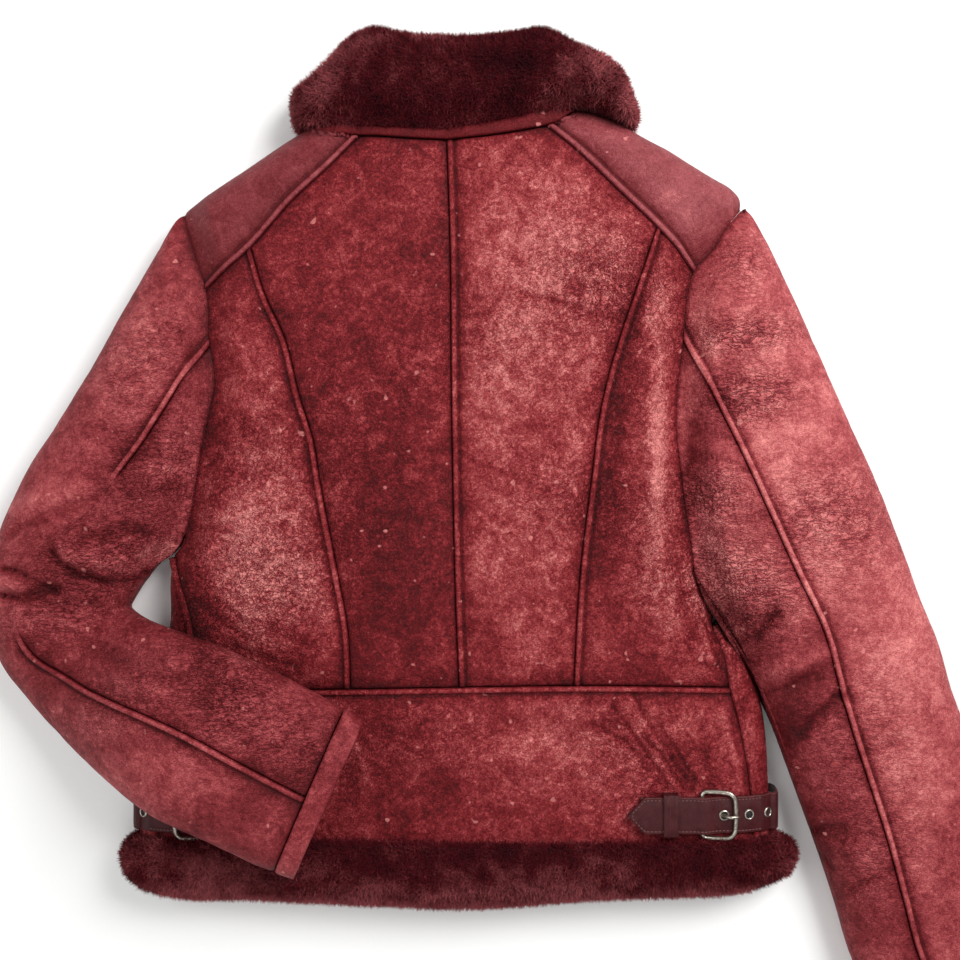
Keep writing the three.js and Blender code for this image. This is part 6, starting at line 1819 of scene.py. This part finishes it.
    def buckle(self) -> None:
        """The frame with rounded corners, and the prong from the first eyelet to its far bar."""
        pivot = float(self.ground(np.array(181.5))) + 0.3
        far = float(self.ground(np.array(204.5))) + 0.3 + self.thick + 0.3
        x1, x2, tall, corner = 181.5, 205.0, 16.8, 7.0
        points = []
        for cx, cy, r, start in ((x1 + 3, -tall + 3, 3, 180), (x2 - corner, -tall + corner, corner, 270),
                                 (x2 - corner, tall - corner, corner, 0), (x1 + 3, tall - 3, 3, 90)):
            for k in range(9):
                a = math.radians(start + 90 * k / 8)
                points.append((cx + r * math.cos(a), cy + r * math.sin(a)))
        points = smooth([*points, points[0]], 3)[:-1]
        rise = ease((points[:, 0] - x1) / (x2 - x1))
        z = mix(pivot, far, rise) + self.bar / 2
        path = np.stack([self.px(points[:, 0]), self.y + points[:, 1], z], -1)
        self.tube(path, np.full(len(path), self.bar / 2), True, f"buckle_frame_{self.side}_metal", [f"buckle_frame_{self.side}"])
        strap = self.strap_path()
        hole = float(np.interp(195.0, strap[:, 0], strap[:, 1])) + self.thick
        prong = smooth([(194.8, hole - 1.2), (196.4, hole + 1.2), (200, far + self.bar + 2.0), (207, far + self.bar + 1.6)], 6)
        path = np.stack([self.px(prong[:, 0]), np.full(len(prong), self.y), prong[:, 1]], -1)
        radius = np.interp(np.linspace(0, 1, len(path)), [0, 0.05, 0.2, 0.8, 0.95, 1], [0.6, 1.2, 1.3, 1.25, 1.1, 0.6])
        self.tube(path, radius, False, f"buckle_prong_{self.side}_metal", [f"buckle_prong_{self.side}"])

    def eyelets(self) -> None:
        """The eyelet rings on the strap, and a dark plug of painted shade inside each ring."""
        path = self.strap_path()
        for k, x in enumerate((197.0, 215.5, 229.5)):
            i = int(np.argmin(np.abs(path[:60 if x < 150 else None, 0] - x)))
            step = path[min(i + 1, len(path) - 1)] - path[i - 1]
            step = step / np.linalg.norm(step)
            up = np.array([-step[1], step[0]])
            middle = path[i] + up * self.thick
            angle = np.arange(28) / 28 * 2 * math.pi
            profile = [(2.5, -0.6), (2.55, 0.5), (2.85, 0.95), (3.3, 1.0), (3.7, 0.75), (4.05, 0.3), (4.1, -0.1), (3.0, -0.2)]
            rings = []
            for r, h in profile:
                along_x, along_y = r * np.cos(angle), r * np.sin(angle)
                p = middle[None] + step[None] * along_x[:, None] + up[None] * h
                rings.append(np.stack([self.px(p[:, 0]), self.y + along_y, p[:, 1]], -1))
            base = np.stack(rings)
            n, m = base.shape[:2]
            faces = np.vstack([grid_faces(n, m, ring=True), seal_ring(n, m)])
            nodes = [f"eyelet_{k + 1}_{self.side}"] if k < 2 else []
            ring = self.metal(base.reshape(-1, 3), faces, f"eyelet_{k + 1}_{self.side}_metal", nodes)
            self.dark_floor(ring, base[0], k)

    def dark_floor(self, ring: bpy.types.Object, rim: Array, number: int) -> None:
        """A shallow dark plug inside an eyelet's ring: painted shade that stands in for the hole."""
        lift = np.array([0.0, 0.0, 0.75])
        top, low = rim + lift, rim
        centre = np.stack([top.mean(0), low.mean(0)])
        places = np.vstack([top, low, centre])
        m = len(rim)
        j = np.arange(m)
        k = (j + 1) % m
        faces = np.vstack([np.stack([j, k, np.full(m, 2 * m), np.full(m, 2 * m)], -1), np.stack([k, j, j + m, k + m], -1),
                           np.stack([k + m, j + m, np.full(m, 2 * m + 1), np.full(m, 2 * m + 1)], -1)])
        plug = self.metal(places, faces, f"eyelet_hole_{number + 1}_{self.side}", [])
        plug.data.materials[0] = self.finishes.hole

    def build(self) -> list[bpy.types.Object]:
        """Builds the strap's pieces."""
        self.tab()
        self.strap()
        self.keeper()
        self.buckle()
        self.eyelets()
        return self.made


@dataclass
class Studio:
    """The floor, the lights and the camera over the jacket."""

    finishes: Finishes

    def build(self) -> None:
        """Builds the studio."""
        bpy.ops.mesh.primitive_plane_add(size=6.0, location=(0, 0, -0.0005))
        floor = bpy.context.object
        floor.name = "floor"
        floor.data.materials.append(self.finishes.floor)
        for name, place, size, power in (("key", (0.9, 0.8, 1.2), 0.9, 34.0), ("fill", (-1.2, 0.2, 1.4), 1.5, 13.0),
                                         ("front", (-0.1, -1.3, 1.4), 1.4, 7.0)):
            data = bpy.data.lights.new(name, "AREA")
            data.size, data.energy = size, power
            lamp = bpy.data.objects.new(name, data)
            lamp.location = place
            direction = -np.array(place)
            lamp.rotation_euler = (math.acos(-direction[2] / np.linalg.norm(direction)), 0.0,
                                   math.atan2(-direction[0], direction[1]))
            bpy.context.scene.collection.objects.link(lamp)
        world = bpy.data.worlds.new("studio")
        world.use_nodes = True
        world.node_tree.nodes["Background"].inputs[0].default_value = (1.0, 1.0, 1.0, 1.0)
        world.node_tree.nodes["Background"].inputs[1].default_value = 0.36
        bpy.context.scene.world = world
        bpy.context.scene.view_settings.view_transform = "Standard"
        data = bpy.data.cameras.new("camera")
        data.sensor_width = data.sensor_height = 36.0
        data.lens = 18.0 / (PIXEL * PICTURE / 2 / (CAMERA_HEIGHT - PIXEL_PLANE))
        camera = bpy.data.objects.new("camera", data)
        camera.location = (CAMERA_X * MM, 0.0, CAMERA_HEIGHT * MM)
        bpy.context.scene.collection.objects.link(camera)
        bpy.context.scene.camera = camera


def main() -> None:
    """Builds the jacket's pieces in order."""
    logging.basicConfig(level=logging.INFO, format="%(message)s")
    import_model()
    finishes = Finishes()
    Studio(finishes).build()
    BackPanels(finishes).build()
    FrontPanels(finishes).build()
    Sleeve("left", LEFT_SLEEVE, LEFT_FOLDS, finishes, hidden_seam=(5, 10)).build()
    Sleeve("right", RIGHT_SLEEVE, RIGHT_FOLDS, finishes).build()
    NeckPiping(finishes).build()
    Fleece(finishes).build()
    for side in ("left", "right"):
        SideStrap(side, finishes).build()


if __name__ == "__main__":
    main()
